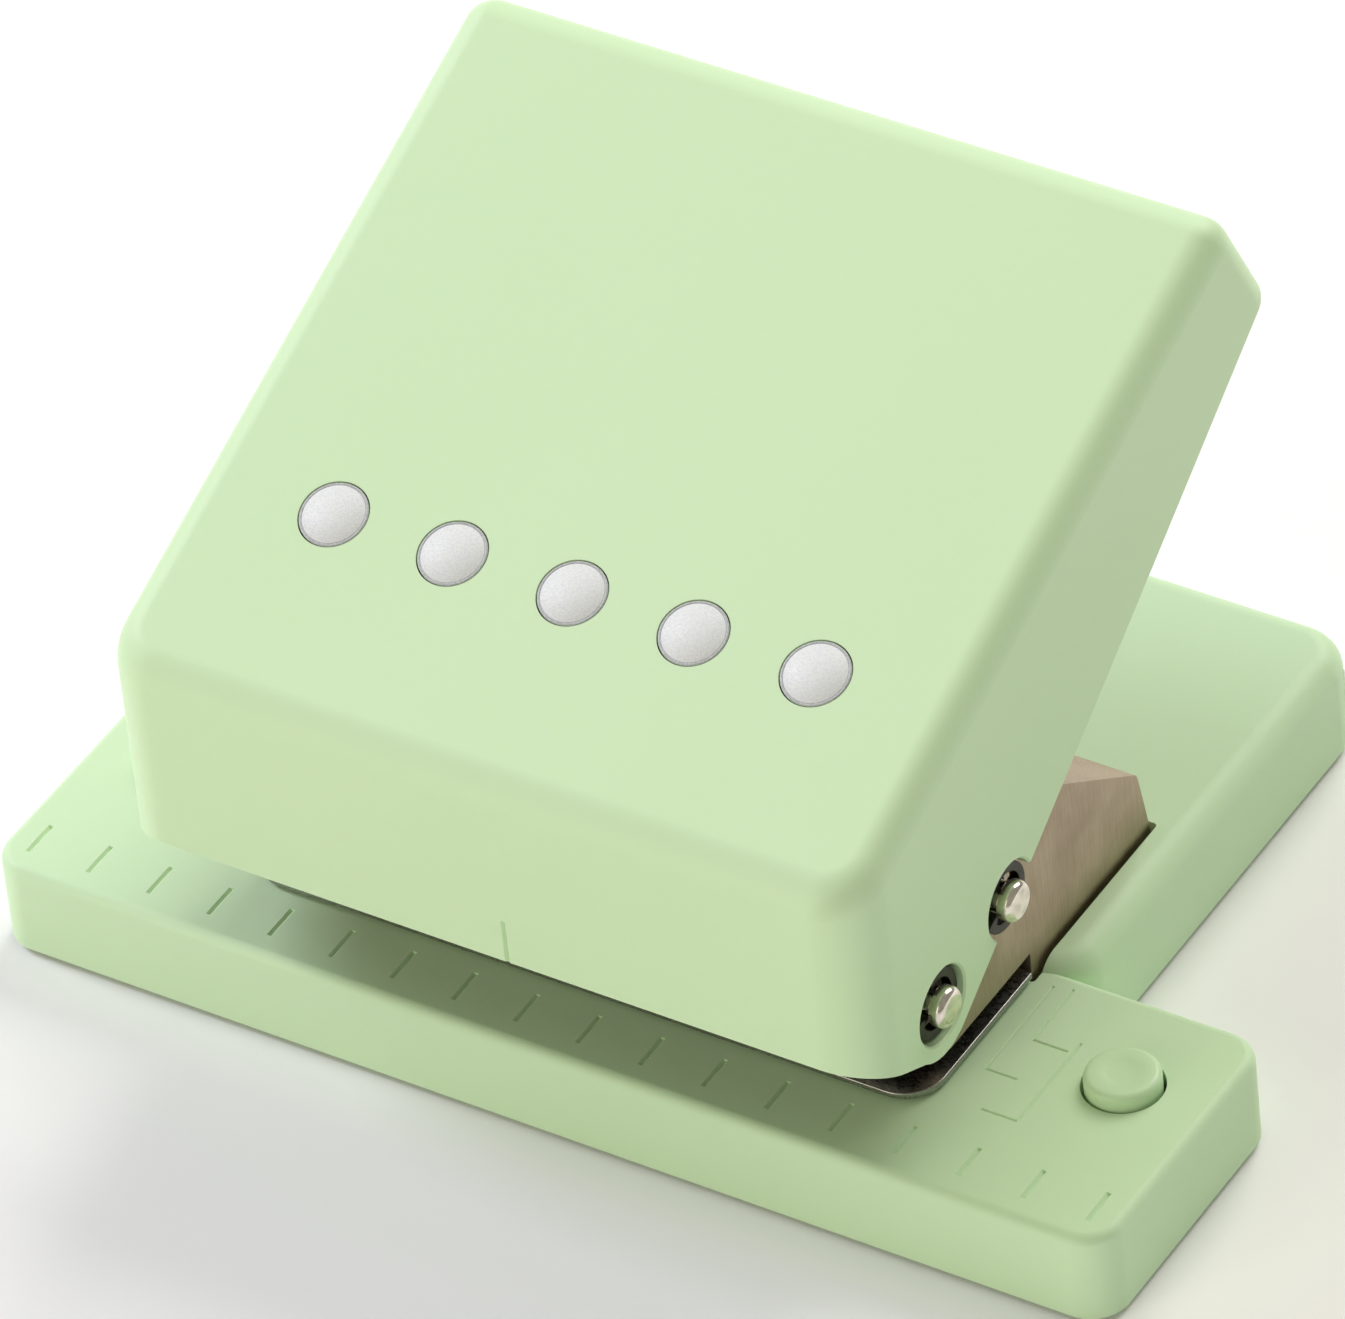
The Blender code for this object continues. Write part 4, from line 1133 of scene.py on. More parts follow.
@dataclass
class Feet:
    """Four rubber pads with rounded lower edges."""

    edge: float = 0.35

    @staticmethod
    def nodes() -> list[str]:
        """Names of the feet."""
        return [f"foot_{end}_{side.word}" for end in ("front", "rear") for side in Side]

    def build(self, palette: Palette) -> None:
        """Make the pads.

        Args:
            palette: The punch's finishes.
        """
        for node in self.nodes():
            low, high = box_of(node)
            pad = Solid.prism(round_rectangle(low, high, 1.0, 7), low.z, high.z, Axis.Z)
            pad.rounded(lambda e, z=low.z: all(abs(v.co.z - z) < NEAR for v in e.verts), self.edge, 4)
            pad.piece(node, "base", Slot.RUBBER, palette.rubber)


@dataclass
class ChipTray:
    """The sliding tray, with a rear panel, a finger notch and low ribs on its floor.

    Attributes:
        wall: Wall thickness.
        bottom: Height of the tray's underside.
        floor: Height of the inside floor.
        panel: Thickness of the rear panel.
        notch: Radius of the finger notch.
        notch_depth: How far the notch reaches into the panel.
        ribs: X of the floor's ribs.
    """

    datum: Datum
    wall: float = 1.2
    bottom: float = 1.6
    floor: float = 2.56
    panel: float = 2.1
    notch: float = 7.0
    notch_depth: float = 1.44
    ribs: tuple[float, ...] = (-15.0, -5.0, 5.0, 15.0)

    def build(self, palette: Palette) -> None:
        """Make the tray.

        Args:
            palette: The punch's finishes.
        """
        low, high = box_of("chip_tray")
        rear = high.y - self.panel
        outside = round_rectangle((low.x, low.y), (high.x, rear), 0.8, 5)
        tray = Solid.prism(outside, self.bottom, high.z, Axis.Z).eased(0.15, 2)
        wall, floor = self.wall, self.floor
        inside = round_rectangle((low.x + wall, low.y + wall), (high.x - wall, rear - wall), 0.9, 5)
        tray.cut(Solid.prism(inside, floor, 9.0, Axis.Z))
        tray.add(*[Solid.block((x - 0.4, low.y + 0.6, floor - 0.3), (x + 0.4, rear - 0.6, floor + 0.35))
                   for x in self.ribs])
        panel = Solid.block((low.x + 0.2, rear - 0.6, 0.9), (high.x - 0.2, high.y, high.z - 0.1))
        tray.add(panel.eased(0.2, 3))
        centre = high.y + self.notch - self.notch_depth
        tray.cut(Solid.rod(self.notch, -1.0, high.z - 1.4).at(0, centre, 0))
        tray.piece("chip_tray", "tray", Slot.TRAY, palette.tray)


@dataclass
class LocatingPeg:
    """A sprung peg in the strip, with its spring and the cap that keeps it in.

    Attributes:
        side: Which end of the strip.
        strip_top: Height of the strip's top.
        radius: Radius of the peg where it shows.
        flange: Radius of the flange that keeps it in.
        flange_height: Thickness of the flange.
        stem: Radius of the stem inside the spring.
        edge: Rounding of the peg's top.
        dish: Depth of the shallow dish in its top.
        coil_radius: Radius of the spring's centre line.
        wire: Radius of the spring's wire.
        cap: Radius of the cap.
        slot: Half length and half width of the cap's screwdriver slot.
        squashed: Share of the spring's height that is left when the peg is down. Not used.
    """

    side: Side
    strip_top: float = 7.8
    radius: float = 2.7
    flange: float = 3.45
    flange_height: float = 1.0
    stem: float = 1.4
    edge: float = 0.5
    dish: float = 0.1
    coil_radius: float = 2.6
    wire: float = 0.2
    cap: float = 3.9
    slot: Point = (1.9, 0.35)
    squashed: float = 0.58

    def peg(self, low: float, high: float) -> Solid:
        """The peg between two heights.

        Args:
            low: Height of its lower end.
            high: Height of its top.

        Returns:
            The peg, standing on the Z axis.
        """
        top, edge, dish, seat = high, self.edge, self.dish, self.strip_top - 1.95
        bottom, soft = seat - self.flange_height, 0.25
        profile = [(0, low), (self.stem, low), (self.stem, bottom), (self.flange, bottom),
                   *arc((self.flange, bottom + soft), soft, -90, 0, 3),
                   *arc((self.flange, seat - soft), soft, 0, 90, 3), (self.radius, seat),
                   *arc((self.radius - edge, top - edge), edge, 0, 90, 7),
                   (1.5, top), (1.2, top - dish * 0.6), (0.8, top - dish), (0, top - dish)]
        return Solid.turned(profile)

    def build(self, palette: Palette) -> None:
        """Make the peg, its spring and its cap.

        Args:
            palette: The punch's finishes.
        """
        word = self.side.word
        spot = middle_of(f"peg_{word}")
        low, high = box_of(f"peg_{word}")
        peg = self.peg(low.z, high.z).at(spot.x, spot.y, 0)
        peg.piece(f"peg_{word}", f"{word}_peg", Slot.GREEN, palette.peg)
        low, high = box_of(f"peg_spring_{word}")
        wire = coil(self.coil_radius, self.wire, low.z, high.z, 3.5).at(spot.x, spot.y, 0)
        made = wire.piece(f"peg_spring_{word}", "base", Slot.SPRING, palette.wire, angle=60)
        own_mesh(made)
        low, high = box_of(f"peg_retainer_{word}")
        disc = Solid.turned([(0, low.z), (self.cap - 0.3, low.z), (self.cap, low.z + 0.2), (self.cap, high.z),
                             (0, high.z)])
        disc.at(spot.x, spot.y, 0)
        length, width = self.slot
        disc.cut(Solid.block((spot.x - length, spot.y - width, low.z - 1),
                             (spot.x + length, spot.y + width, low.z + 0.35)))
        disc.piece(f"peg_retainer_{word}", "base", Slot.TRAY, palette.tray)


# ---------------------------------------------------------------------------------------------------------
# Steelwork


@dataclass
class PunchFrame:
    """The folded sheet frame that carries the pivot and guides the punches.

    Attributes:
        sheet: Sheet thickness.
        bend: Outside radius of the folds along the top.
        ear: Radius of the ear round the pivot.
        top_front: Distance of the top's front end from the strip's front.
        top_rear: Distance of the knee where the top starts to slope.
        slope_end: Distance and height of the slope's lower end.
        foot_front: Distance of the walls' front end at the paper slot.
        step: Distance of the step down into the pocket.
        slot_top: Height of the walls' lower edge over the strip.
        flange: Width of the feet that are screwed down.
        flange_span: Distances of the feet's two ends.
        tabs: Distances of the guide plate's tabs.
        bore: Radius of the pivot bore.
        slot_half: Half width of the curved slot for the drive pin.
        swing: Angle that the curved slot covers, in degrees.
    """

    datum: Datum
    sheet: float = 1.5
    bend: float = 1.3
    ear: float = 3.9
    top_front: float = 8.5
    top_rear: float = 21.5
    slope_end: Point = (36.4, 14.2)
    foot_front: float = 10.5
    step: float = 21.3
    slot_top: float = 10.0
    flange: float = 7.0
    flange_span: Point = (23.0, 37.0)
    tabs: Point = (12.0, 16.5)
    bore: float = 1.55
    slot_half: float = 1.8
    swing: float = 22.0

    def outline(self) -> list[Point]:
        """Side outline of the walls.

        Returns:
            Points in (Y, Z).
        """
        low, high = box_of("punch_frame")
        at = self.datum.y
        pivot = (self.datum.hinge.y, self.datum.hinge.z)
        ear = arc(pivot, self.ear, -55, -255, 28)
        rear = high.y
        rest = softened([(at(self.top_front), high.z, 2.0), (at(self.top_rear), high.z, 2.2),
                         (at(self.slope_end[0]), self.slope_end[1], 0.9),
                         (rear, 8.6, 0.4), (rear, low.z, 0.3),
                         (at(self.step), low.z, 0.3), (at(self.step), self.slot_top, 0.0),
                         (at(self.foot_front), self.slot_top, 0.4), (*ear[0], 0.0), (*ear[-1], 0.0)], 5)
        return ear + rest[:-2]

    def folded(self) -> Solid:
        """The outer block with its fold radii, hollowed to a sheet.

        Returns:
            The frame without its feet and holes.
        """
        low, high = box_of("punch_frame")
        at = self.datum.y
        block = Solid.prism(self.outline(), low.x, high.x)
        start = at(self.top_front) - 0.2

        def on_fold(edge: bmesh.types.BMEdge) -> bool:
            """Whether an edge runs along the top or the slope of a wall.

            Args:
                edge: The edge to test.

            Returns:
                True for an edge to round.
            """
            one, two = (v.co for v in edge.verts)
            high = min(one.z, two.z) > self.slope_end[1] - 0.6
            return abs(one.x - two.x) < 1e-5 and high and min(one.y, two.y) > start

        block.rounded(on_fold, self.bend, 7)
        fall = (high.z - self.slope_end[1]) / (self.slope_end[0] - self.top_rear)
        drop = self.sheet * math.hypot(1, fall)
        knee = self.top_rear - (drop - self.sheet) / fall
        under = high.z - self.sheet
        lip = at(self.top_front + 0.8)
        far = 60.0
        inside = [(at(-5), -6), (at(far), -6), (at(far), high.z - drop - fall * (far - self.top_rear)),
                  (at(knee), under), (lip, under), (lip, 40), (at(-5), 40)]
        core = Solid.prism(inside, low.x + self.sheet, high.x - self.sheet)
        return block.cut(core)

    def arc_slot(self) -> Solid:
        """Cutter for the curved slots that the drive pin moves in.

        Returns:
            The cutter.
        """
        centre = (self.datum.hinge.y, self.datum.hinge.z)
        reach = math.hypot(*self.datum.drive)
        start = math.degrees(self.datum.tilt + math.atan2(self.datum.drive[1], self.datum.drive[0]))
        stop, half = start - self.swing, self.slot_half
        ends = [arc(centre, reach, a, a, 1)[0] for a in (start, stop)]
        outline = arc(centre, reach + half, stop, start, 14)[1:-1]
        outline += arc(ends[0], half, start, start + 180, 14)
        outline += arc(centre, reach - half, start, stop, 14)[1:-1]
        outline += arc(ends[1], half, stop + 180, stop + 360, 14)
        return Solid.prism(outline, -40, 40)

    def build(self, palette: Palette) -> None:
        """Make the frame.

        Args:
            palette: The punch's finishes.
        """
        low, high = box_of("punch_frame")
        walls, at = self.folded(), self.datum.y
        inner = high.x - self.sheet
        flanges = []
        for side in (-1, 1):
            xs = sorted((side * (inner - self.flange), side * (inner + 0.7)))
            left, right = (1.2 if side > 0 else 0), (1.2 if side < 0 else 0)
            front, rear = (at(distance) for distance in self.flange_span)
            plan = softened([(xs[0], front, left), (xs[1], front, right), (xs[1], rear, right),
                             (xs[0], rear, left)], 6)
            flanges.append(Solid.prism(plan, low.z, low.z + self.sheet, Axis.Z))
        walls.add(*flanges)
        walls.cut(*[Solid.rod(THREAD_HOLE, 5.0, 10.0, steps=32).at(*middle_of(f"frame_screw_{n}").xy, 0)
                    for n in range(1, 5)])
        hinge = self.datum.hinge
        walls.cut(Solid.rod(self.bore, -40, 40, Axis.X).at(0, hinge.y, hinge.z))
        walls.cut(self.arc_slot())
        for start in self.tabs:
            pockets = []
            for side in (-1, 1):
                xs = sorted((side * (inner - 0.4), side * (inner + 1.0)))
                pockets.append(Solid.block((xs[0], at(start - 0.3), 9.0), (xs[1], at(start + 3.3), 11.3)))
            walls.cut(*pockets)
        walls.piece("punch_frame", "base", Slot.SHEET, palette.walls, angle=30)


@dataclass
class DieSet:
    """Die plate on the strip and guide plate above the paper slot.

    Attributes:
        hole: Radius of the punch holes.
        die_corner: Plan radius of the die plate's front corners.
        ear: How far the die plate's sides reach back beside the paper stop.
        guide_sheet: Thickness of the guide plate.
        stop: Thickness of the guide plate's paper stop.
        tabs: Distances of its tabs from the strip's front.
        tab_length: Length of a tab.
    """

    datum: Datum
    hole: float = 2.8
    die_corner: float = 3.0
    ear: float = 1.0
    guide_sheet: float = 1.2
    stop: float = 0.8
    tabs: Point = (12.0, 16.5)
    tab_length: float = 3.0

    def die(self) -> Solid:
        """The die plate.

        Returns:
            The plate.
        """
        low, high = box_of("die_plate")
        inner, corner = box_of("punch_frame")[1].x - 1.5, self.die_corner
        outline = arc((low.x + corner, low.y + corner), corner, 180, 270, 12)
        outline += arc((high.x - corner, low.y + corner), corner, 270, 360, 12)
        outline += [(high.x, high.y), (inner, high.y), (inner, high.y - self.ear),
                    (-inner, high.y - self.ear), (-inner, high.y), (low.x, high.y)]
        die = Solid.prism(outline, low.z, high.z, Axis.Z).eased(0.1, 3)
        screws = [middle_of(f"die_screw_{n}") for n in (1, 2)]
        return die.cut(*[Solid.rod(self.hole, 5, 12).at(x, self.datum.row, 0) for x in self.datum.columns],
                       *[Solid.rod(THREAD_HOLE, 5, 12, steps=32).at(spot.x, spot.y, 0) for spot in screws])

    def guide(self) -> Solid:
        """The guide plate, with its paper stop and the tabs that sit in the frame's walls.

        Returns:
            The plate.
        """
        low, high = box_of("guide_plate")
        half = box_of("punch_frame")[1].x - 1.8
        under, stop = high.z - self.guide_sheet, high.y - self.stop
        section = softened([(low.y, under, 0.15), (stop, under, 0.3), (stop, low.z, 0.1),
                            (high.y, low.z, 0.1), (high.y, high.z, 0.9), (low.y, high.z, 0.15)], 5)
        guide = Solid.prism(section, -half, half)
        for start in self.tabs:
            front, rear = self.datum.y(start), self.datum.y(start + self.tab_length)
            spans = [sorted((side * (half - 1), side * high.x)) for side in (-1, 1)]
            guide.add(*[Solid.block((xs[0], front, under + 0.2), (xs[1], rear, high.z - 0.2))
                        for xs in spans])
        return guide.cut(*[Solid.rod(self.hole, 5, 14).at(x, self.datum.row, 0) for x in self.datum.columns])

    def build(self, palette: Palette) -> None:
        """Make both plates."""
        self.die().piece("die_plate", "base", Slot.SHEET, palette.die)
        self.guide().piece("guide_plate", "base", Slot.SHEET, palette.die)


@dataclass
class HingePins:
    """Pivot pin and drive pin with an E-clip at each end.

    Attributes:
        radius: Pin radius.
        neck: Radius in the clip grooves.
        groove_width: Width of a groove.
        dome: Rounding of the pin's ends.
        clip_radius: Outer radius of a clip.
        clip_band: Width of a clip's band.
        mouth: Half angle of a clip's opening.
        clip_turn: Turn of the opening from pointing down, in degrees.
    """

    datum: Datum
    radius: float = 1.5
    neck: float = 1.15
    groove_width: float = 1.0
    dome: float = 0.55
    clip_radius: float = 2.6
    clip_band: float = 0.7
    mouth: float = 38.0
    clip_turn: float = -125.0

    def pin(self, half: float, groove: float) -> Solid:
        """A pin along X with two grooves and domed ends.

        Args:
            half: Half its length.
            groove: X of the inner side of the right groove.

        Returns:
            The pin.
        """
        r, neck, dome, ease = self.radius, self.neck, self.dome, 0.08
        end = groove + self.groove_width
        tip = arc((half - dome, r - dome), dome, 90, 0, 7)
        side = [(r, 0), (r, groove - ease), (r - ease, groove), (neck, groove), (neck, end), (r - ease, end),
                (r, end + ease), *[(radius, x) for x, radius in tip], (0, half)]
        return Solid.turned([(radius, -x) for radius, x in reversed(side)][:-1] + side[1:], Axis.X, 48)

    def clip(self, low: float, high: float) -> Solid:
        """A flat E-clip with three prongs, open downwards.

        Args:
            low: X of one face.
            high: X of the other face.

        Returns:
            The clip, centred on the X axis.
        """
        bore, rim = self.neck + 0.05, self.clip_radius - self.clip_band
        steps = 96
        inner, outer = [], []
        for i in range(steps + 1):
            a = -90 + self.mouth + (360 - 2 * self.mouth) * i / steps
            near = min(abs(a - 90), abs(a + 90 - self.mouth), abs(a - 270 + self.mouth))
            rise = min(max((21.0 - near) / 5.0, 0.0), 1.0)
            inner.append((rim + (bore - rim) * rise, a))
            outer.append((self.clip_radius, a))
        points = [arc((0, 0), r, a, a, 1)[0] for r, a in outer + inner[::-1]]
        return Solid.prism(points, low, high).eased(0.07, 2, 60)

    def build(self, palette: Palette) -> None:
        """Make the pins and clips.

        Args:
            palette: The punch's finishes.
        """
        for word, body in (("pivot", "base"), ("drive", "lever_unit")):
            low, high = box_of(f"{word}_pin")
            spot = middle_of(f"{word}_pin")
            groove = box_of(f"{word}_clip_right")[0].x - 0.1
            pin = self.pin(high.x, groove).at(0, spot.y, spot.z)
            pin.piece(f"{word}_pin", body, Slot.BRIGHT, palette.pin)
            turn = (self.datum.tilt if word == "drive" else 0.0) + math.radians(self.clip_turn)
            for side in Side:
                low, high = box_of(f"{word}_clip_{side.word}")
                clip = self.clip(low.x, high.x).under(Matrix.Rotation(turn, 4, "X")).at(0, spot.y, spot.z)
                clip.piece(f"{word}_clip_{side.word}", body, Slot.BRIGHT, palette.clip)


@dataclass
class Punches:
    """Five punches with hollow-ground tips, and their return springs.

    Attributes:
        radius: Radius of a punch.
        head: Radius of its head.
        head_height: Thickness of the head.
        coil_radius: Radius of a spring's centre line.
        wire: Radius of a spring's wire.
        turns: Number of turns in a spring.
        squashed: Share of a spring's height that is left when the punch is down. Not used.
    """

    datum: Datum
    radius: float = 2.75
    head: float = 3.7
    head_height: float = 1.4
    coil_radius: float = 3.35
    wire: float = 0.25
    turns: float = 5.0
    squashed: float = 0.37

    def punch(self, low: float, high: float) -> Solid:
        """One punch between two heights.

        Args:
            low: Height of the tip.
            high: Height of the head's top.

        Returns:
            The punch, standing on the Z axis.
        """
        r, shoulder = self.radius, high - self.head_height
        grind = [(0, low + 1.0), (0.6, low + 0.98), (1.4, low + 0.75), (r - 0.3, low)]
        profile = grind + [(r, low), (r, shoulder - 0.25), (r - 0.12, shoulder - 0.2), (r - 0.12, shoulder),
                           *arc((self.head - 0.15, shoulder + 0.15), 0.15, -90, 0, 3),
                           *arc((self.head - 0.35, high - 0.35), 0.35, 0, 90, 5), (0, high)]
        return Solid.turned(profile)

    def build(self, palette: Palette) -> None:
        """Make the punches and springs.

        Args:
            palette: The punch's finishes.
        """
        for number, x in enumerate(self.datum.columns, 1):
            low, high = box_of(f"punch_{number}")
            punch = self.punch(low.z, high.z).at(x, self.datum.row, 0)
            punch.piece(f"punch_{number}", f"punch_{number}_body", Slot.BRIGHT, palette.punch)
            low, high = box_of(f"punch_spring_{number}")
            spring = coil(self.coil_radius, self.wire, low.z, high.z, self.turns).at(x, self.datum.row, 0)
            made = spring.piece(f"punch_spring_{number}", "base", Slot.SPRING, palette.wire, angle=60)
            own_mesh(made)


class ScrewHead(Enum):
    """Head shapes of the screws."""

    FLAT = "flat"
    PAN = "pan"


@dataclass
class Screws:
    """One kind of screw, with a cross recess, thread grooves and a pointed shank end.

    Attributes:
        word: Start of the nodes' names.
        count: Number of screws.
        body: Body that they ride on.
        head: Head shape.
        radius: Radius over the thread.
        head_radius: Radius of the head.
        head_height: Height of the head.
        thread: Pitch of the thread.
        thread_depth: Depth of the thread.
        recess_arm: Half length of the cross recess.
        recess_half: Half width of its arms.
        recess_depth: Its depth.
    """

    datum: Datum
    word: str
    count: int
    body: str
    head: ScrewHead
    radius: float = 1.0
    head_radius: float = 1.9
    head_height: float = 1.0
    thread: float = 0.4
    thread_depth: float = 0.18
    recess_arm: float = 0.95
    recess_half: float = 0.17
    recess_depth: float = 0.5

    def profile(self, length: float) -> list[Point]:
        """Half profile, head down, with ring-shaped thread grooves.

        Args:
            length: Overall length.

        Returns:
            Points of (radius, height).
        """
        r, head = self.radius, self.head_radius
        if self.head is ScrewHead.FLAT:
            points = [(0, 0), (head - 0.05, 0), (head, 0.06), (r, self.head_height - 0.1)]
        else:
            points = [(0, 0), *arc((head - 0.6, 0.6), 0.6, -90, 0, 5), (head, self.head_height - 0.1),
                      (head - 0.1, self.head_height), (r, self.head_height)]
        start = self.head_height + 0.2
        count = int((length - start - 0.3) / self.thread)
        for i in range(count):
            z = start + i * self.thread
            points += [(r, z), (r - self.thread_depth, z + self.thread * 0.5)]
        return points + [(r, start + count * self.thread), (r, length - 0.2), (r - 0.2, length), (0, length)]

    def build(self, palette: Palette) -> None:
        """Make the screws.

        Args:
            palette: The punch's finishes.
        """
        on_lever = self.body == "lever_unit"
        for number in range(1, self.count + 1):
            node = f"{self.word}_{number}"
            low, high = box_of(node)
            spot = middle_of(node)
            if on_lever:
                place = self.datum.on_lever(node)
                length = self.lever_length(high.z - low.z)
                start = Vector((place.x, place.y, place.z - length / 2))
            else:
                length, start = high.z - low.z, Vector((spot.x, spot.y, low.z))
            shape = Solid.turned(self.profile(length), steps=32)
            shape.cut(self.recess())
            shape.at(*start)
            if on_lever:
                shape.under(self.datum.lever)
            shape.piece(node, self.body, Slot.BRIGHT, palette.screw)

    def recess(self) -> Solid:
        """Cutter for the cross recess in a head.

        Returns:
            The cutter.
        """
        arm, w = self.recess_arm, self.recess_half
        cross = [(-w, -arm), (w, -arm), (w, -w), (arm, -w), (arm, w), (w, w),
                 (w, arm), (-w, arm), (-w, w), (-arm, w), (-arm, -w), (-w, -w)]
        return Solid.prism(cross, -self.recess_depth, self.recess_depth, Axis.Z)

    def lever_length(self, height: float) -> float:
        """Length of a tilted screw from the height of its box."""
        return (height - 2 * self.head_radius * math.sin(self.datum.tilt)) / math.cos(self.datum.tilt) + 0.3


# ---------------------------------------------------------------------------------------------------------
# Hand lever


@dataclass
class LeverChannel:
    """The steel channel that carries the drive pin inside the cover.

    Attributes:
        sheet: Sheet thickness.
        half: Outer half width.
        web: N of the web's top.
        front: U of its front.
        rear: U of its rear.
        rear_edge: N of the arms' lower edge at the rear.
        pivot_eye: Radius of the eye round the pivot pin.
        drive_eye: Radius of the eye round the drive pin.
        bore: Radius of the pin bores.
        fold: Outside radius of the folds.
    """

    datum: Datum
    sheet: float = 0.8
    half: float = 28.15
    web: float = 9.8
    front: float = -3.4
    rear: float = 46.0
    rear_edge: float = 7.2
    pivot_eye: float = 3.2
    drive_eye: float = 2.5
    bore: float = 1.55
    fold: float = 0.75

    def build(self, palette: Palette) -> None:
        """Make the channel.

        Args:
            palette: The punch's finishes.
        """
        eye = arc((0, 0), self.pivot_eye, 180, 285, 20)
        drive = arc(self.datum.drive, self.drive_eye, -100, 10, 18)
        outline = [(self.front, self.web), *eye, *drive, (self.rear, self.rear_edge), (self.rear, self.web)]
        channel = Solid.prism(outline, -self.half, self.half)

        def on_fold(edge: bmesh.types.BMEdge) -> bool:
            """Whether an edge is the fold between web and arm.

            Args:
                edge: The edge to test.

            Returns:
                True for an edge to round.
            """
            one, two = (v.co for v in edge.verts)
            on_web = abs(one.z - self.web) < NEAR and abs(two.z - self.web) < NEAR
            return on_web and abs(one.x - two.x) < NEAR

        channel.rounded(on_fold, self.fold, 6)
        inner = self.half - self.sheet
        channel.cut(Solid.block((-inner, -30, -30), (inner, 80, self.web - self.sheet)))
        channel.cut(*[Solid.rod(self.bore, -40, 40, Axis.X).at(0, *place)
                      for place in ((0, 0), self.datum.drive)])
        spots = [self.datum.on_lever(f"cover_screw_{n}") for n in range(1, 5)]
        channel.cut(*[Solid.rod(THREAD_HOLE, self.web - 3, self.web + 1, steps=32).at(p.x, p.y, 0)
                      for p in spots])
        channel.under(self.datum.lever)
        channel.piece("lever", "lever_unit", Slot.SHEET, palette.web, angle=30)


@dataclass
class HandCover:
    """The wide moulded cover, with bosses, ribs, side holes, an index line and seats for the inlays.

    Attributes:
        half: Half width.
        front_top: U of the front top edge before rounding.
        front_low: U and N of the front's lower edge.
        rear_top: U of the rear top edge before rounding.
        rear_low: U and N of the rear's lower edge.
        top: N of the top.
        ear: Radius of the ears round the pivot.
        skin: Thickness of the top, front and rear.
        side_wall: Thickness of the sides.
        edge: Rounding of the outer edges.
        hole: Radius of the side holes.
        front_corner: Rounding of the upright corners at the front.
        web_top: N of the lever's web, which the bosses stand on.
        dot_row: U of the inlays.
        dot_radius: Radius of the inlays.
        boss: Radius of a screw boss.
        index_place: X of the index line.
    """

    datum: Datum
    half: float = 30.0
    front_top: float = -2.82
    front_low: Point = (-8.54, 3.6)
    rear_top: float = 53.4
    rear_low: Point = (54.3, 7.8)
    top: float = 17.8
    ear: float = 4.1
    skin: float = 2.0
    side_wall: float = 1.6
    edge: float = 2.2
    hole: float = 2.9
    front_corner: float = 4.0
    web_top: float = 9.8
    dot_row: float = 12.5
    dot_radius: float = 2.48
    boss: float = 2.6
    index_place: float = 1.5

    def outline(self) -> list[Point]:
        """Side outline.

        Returns:
            Points in (U, N).
        """
        reach = math.hypot(*self.rear_low)
        touch = math.degrees(math.atan2(self.rear_low[1], self.rear_low[0]) - math.acos(self.ear / reach))
        ear = arc((0, 0), self.ear, -152, touch, 22)
        return [(self.front_top, self.top), self.front_low] + ear + [self.rear_low, (self.rear_top, self.top)]

    def outside(self) -> Solid:
        """The cover before it is hollowed, with its rounded edges.

        Returns:
            The rounded block.
        """
        block = Solid.prism(self.outline(), -self.half, self.half)

        def stands(vertex: bmesh.types.BMVert, spot: Point) -> bool:
            """Whether a vertex stands at a (U, N) place."""
            return abs(vertex.co.y - spot[0]) < NEAR and abs(vertex.co.z - spot[1]) < NEAR

        def joins(edge: bmesh.types.BMEdge, top: Point, low: Point) -> bool:
            """Whether an edge runs between two (U, N) places."""
            pairs = (edge.verts, reversed(edge.verts))
            return any(stands(a, top) and stands(b, low) for a, b in pairs)

        def front_upright(edge: bmesh.types.BMEdge) -> bool:
            """Whether an edge is an upright corner at the front."""
            return joins(edge, (self.front_top, self.top), self.front_low)

        def top_or_rear(edge: bmesh.types.BMEdge) -> bool:
            """Whether an edge borders the top or is an upright corner at the rear."""
            rear = joins(edge, (self.rear_top, self.top), self.rear_low)
            return rear or all(abs(v.co.z - self.top) < NEAR for v in edge.verts)

        block.rounded(front_upright, self.front_corner, 12)
        return block.rounded(top_or_rear, self.edge, 9)

    def inside(self) -> Solid:
        """Cutter for the space inside the walls.

        Returns:
            The cutter.
        """
        lean = (self.front_top - self.front_low[0]) / (self.top - self.front_low[1])
        wall = self.skin * math.hypot(1, lean)
        roof, back = self.top - self.skin, self.rear_top - self.skin
        foot = -20.0
        low = self.front_low[0] + wall + lean * (foot - self.front_low[1])
        outline = [(self.front_top - lean * self.skin + wall, roof), (low, foot), (back, foot), (back, roof)]
        inner = self.half - self.side_wall
        core = Solid.prism(outline, -inner, inner)
        return core.rounded(lambda e: all(v.co.z > roof - 1e-3 for v in e.verts), 0.6, 3)

    def inner_parts(self, cover: Solid) -> None:
        """Grow the bosses and the ribs, and drill the bosses.

        Args:
            cover: The cover being shaped.
        """
        low, high = self.web_top + 0.3, self.top - self.skin / 2
        places = [self.datum.on_lever(f"cover_screw_{n}") for n in range(1, 5)]
        cover.add(*[Solid.rod(self.boss, low, high, steps=36).at(p.x, p.y, 0) for p in places])
        cover.cut(*[Solid.rod(THREAD_HOLE, low - 1, low + 4.2, steps=28).at(p.x, p.y, 0) for p in places])
        roof, back = self.top - self.skin + 0.4, self.rear_top - self.skin + 0.5
        long_ribs, short_ribs = (-9.0, 9.0), (-25.0, -17.0, 0.0, 17.0, 25.0)
        for ribs, start, foot in ((long_ribs, 4.0, self.web_top + 2.2), (short_ribs, 47.2, 9.4)):
            cover.add(*[Solid.block((x - 0.5, start, foot), (x + 0.5, back, roof)) for x in ribs])

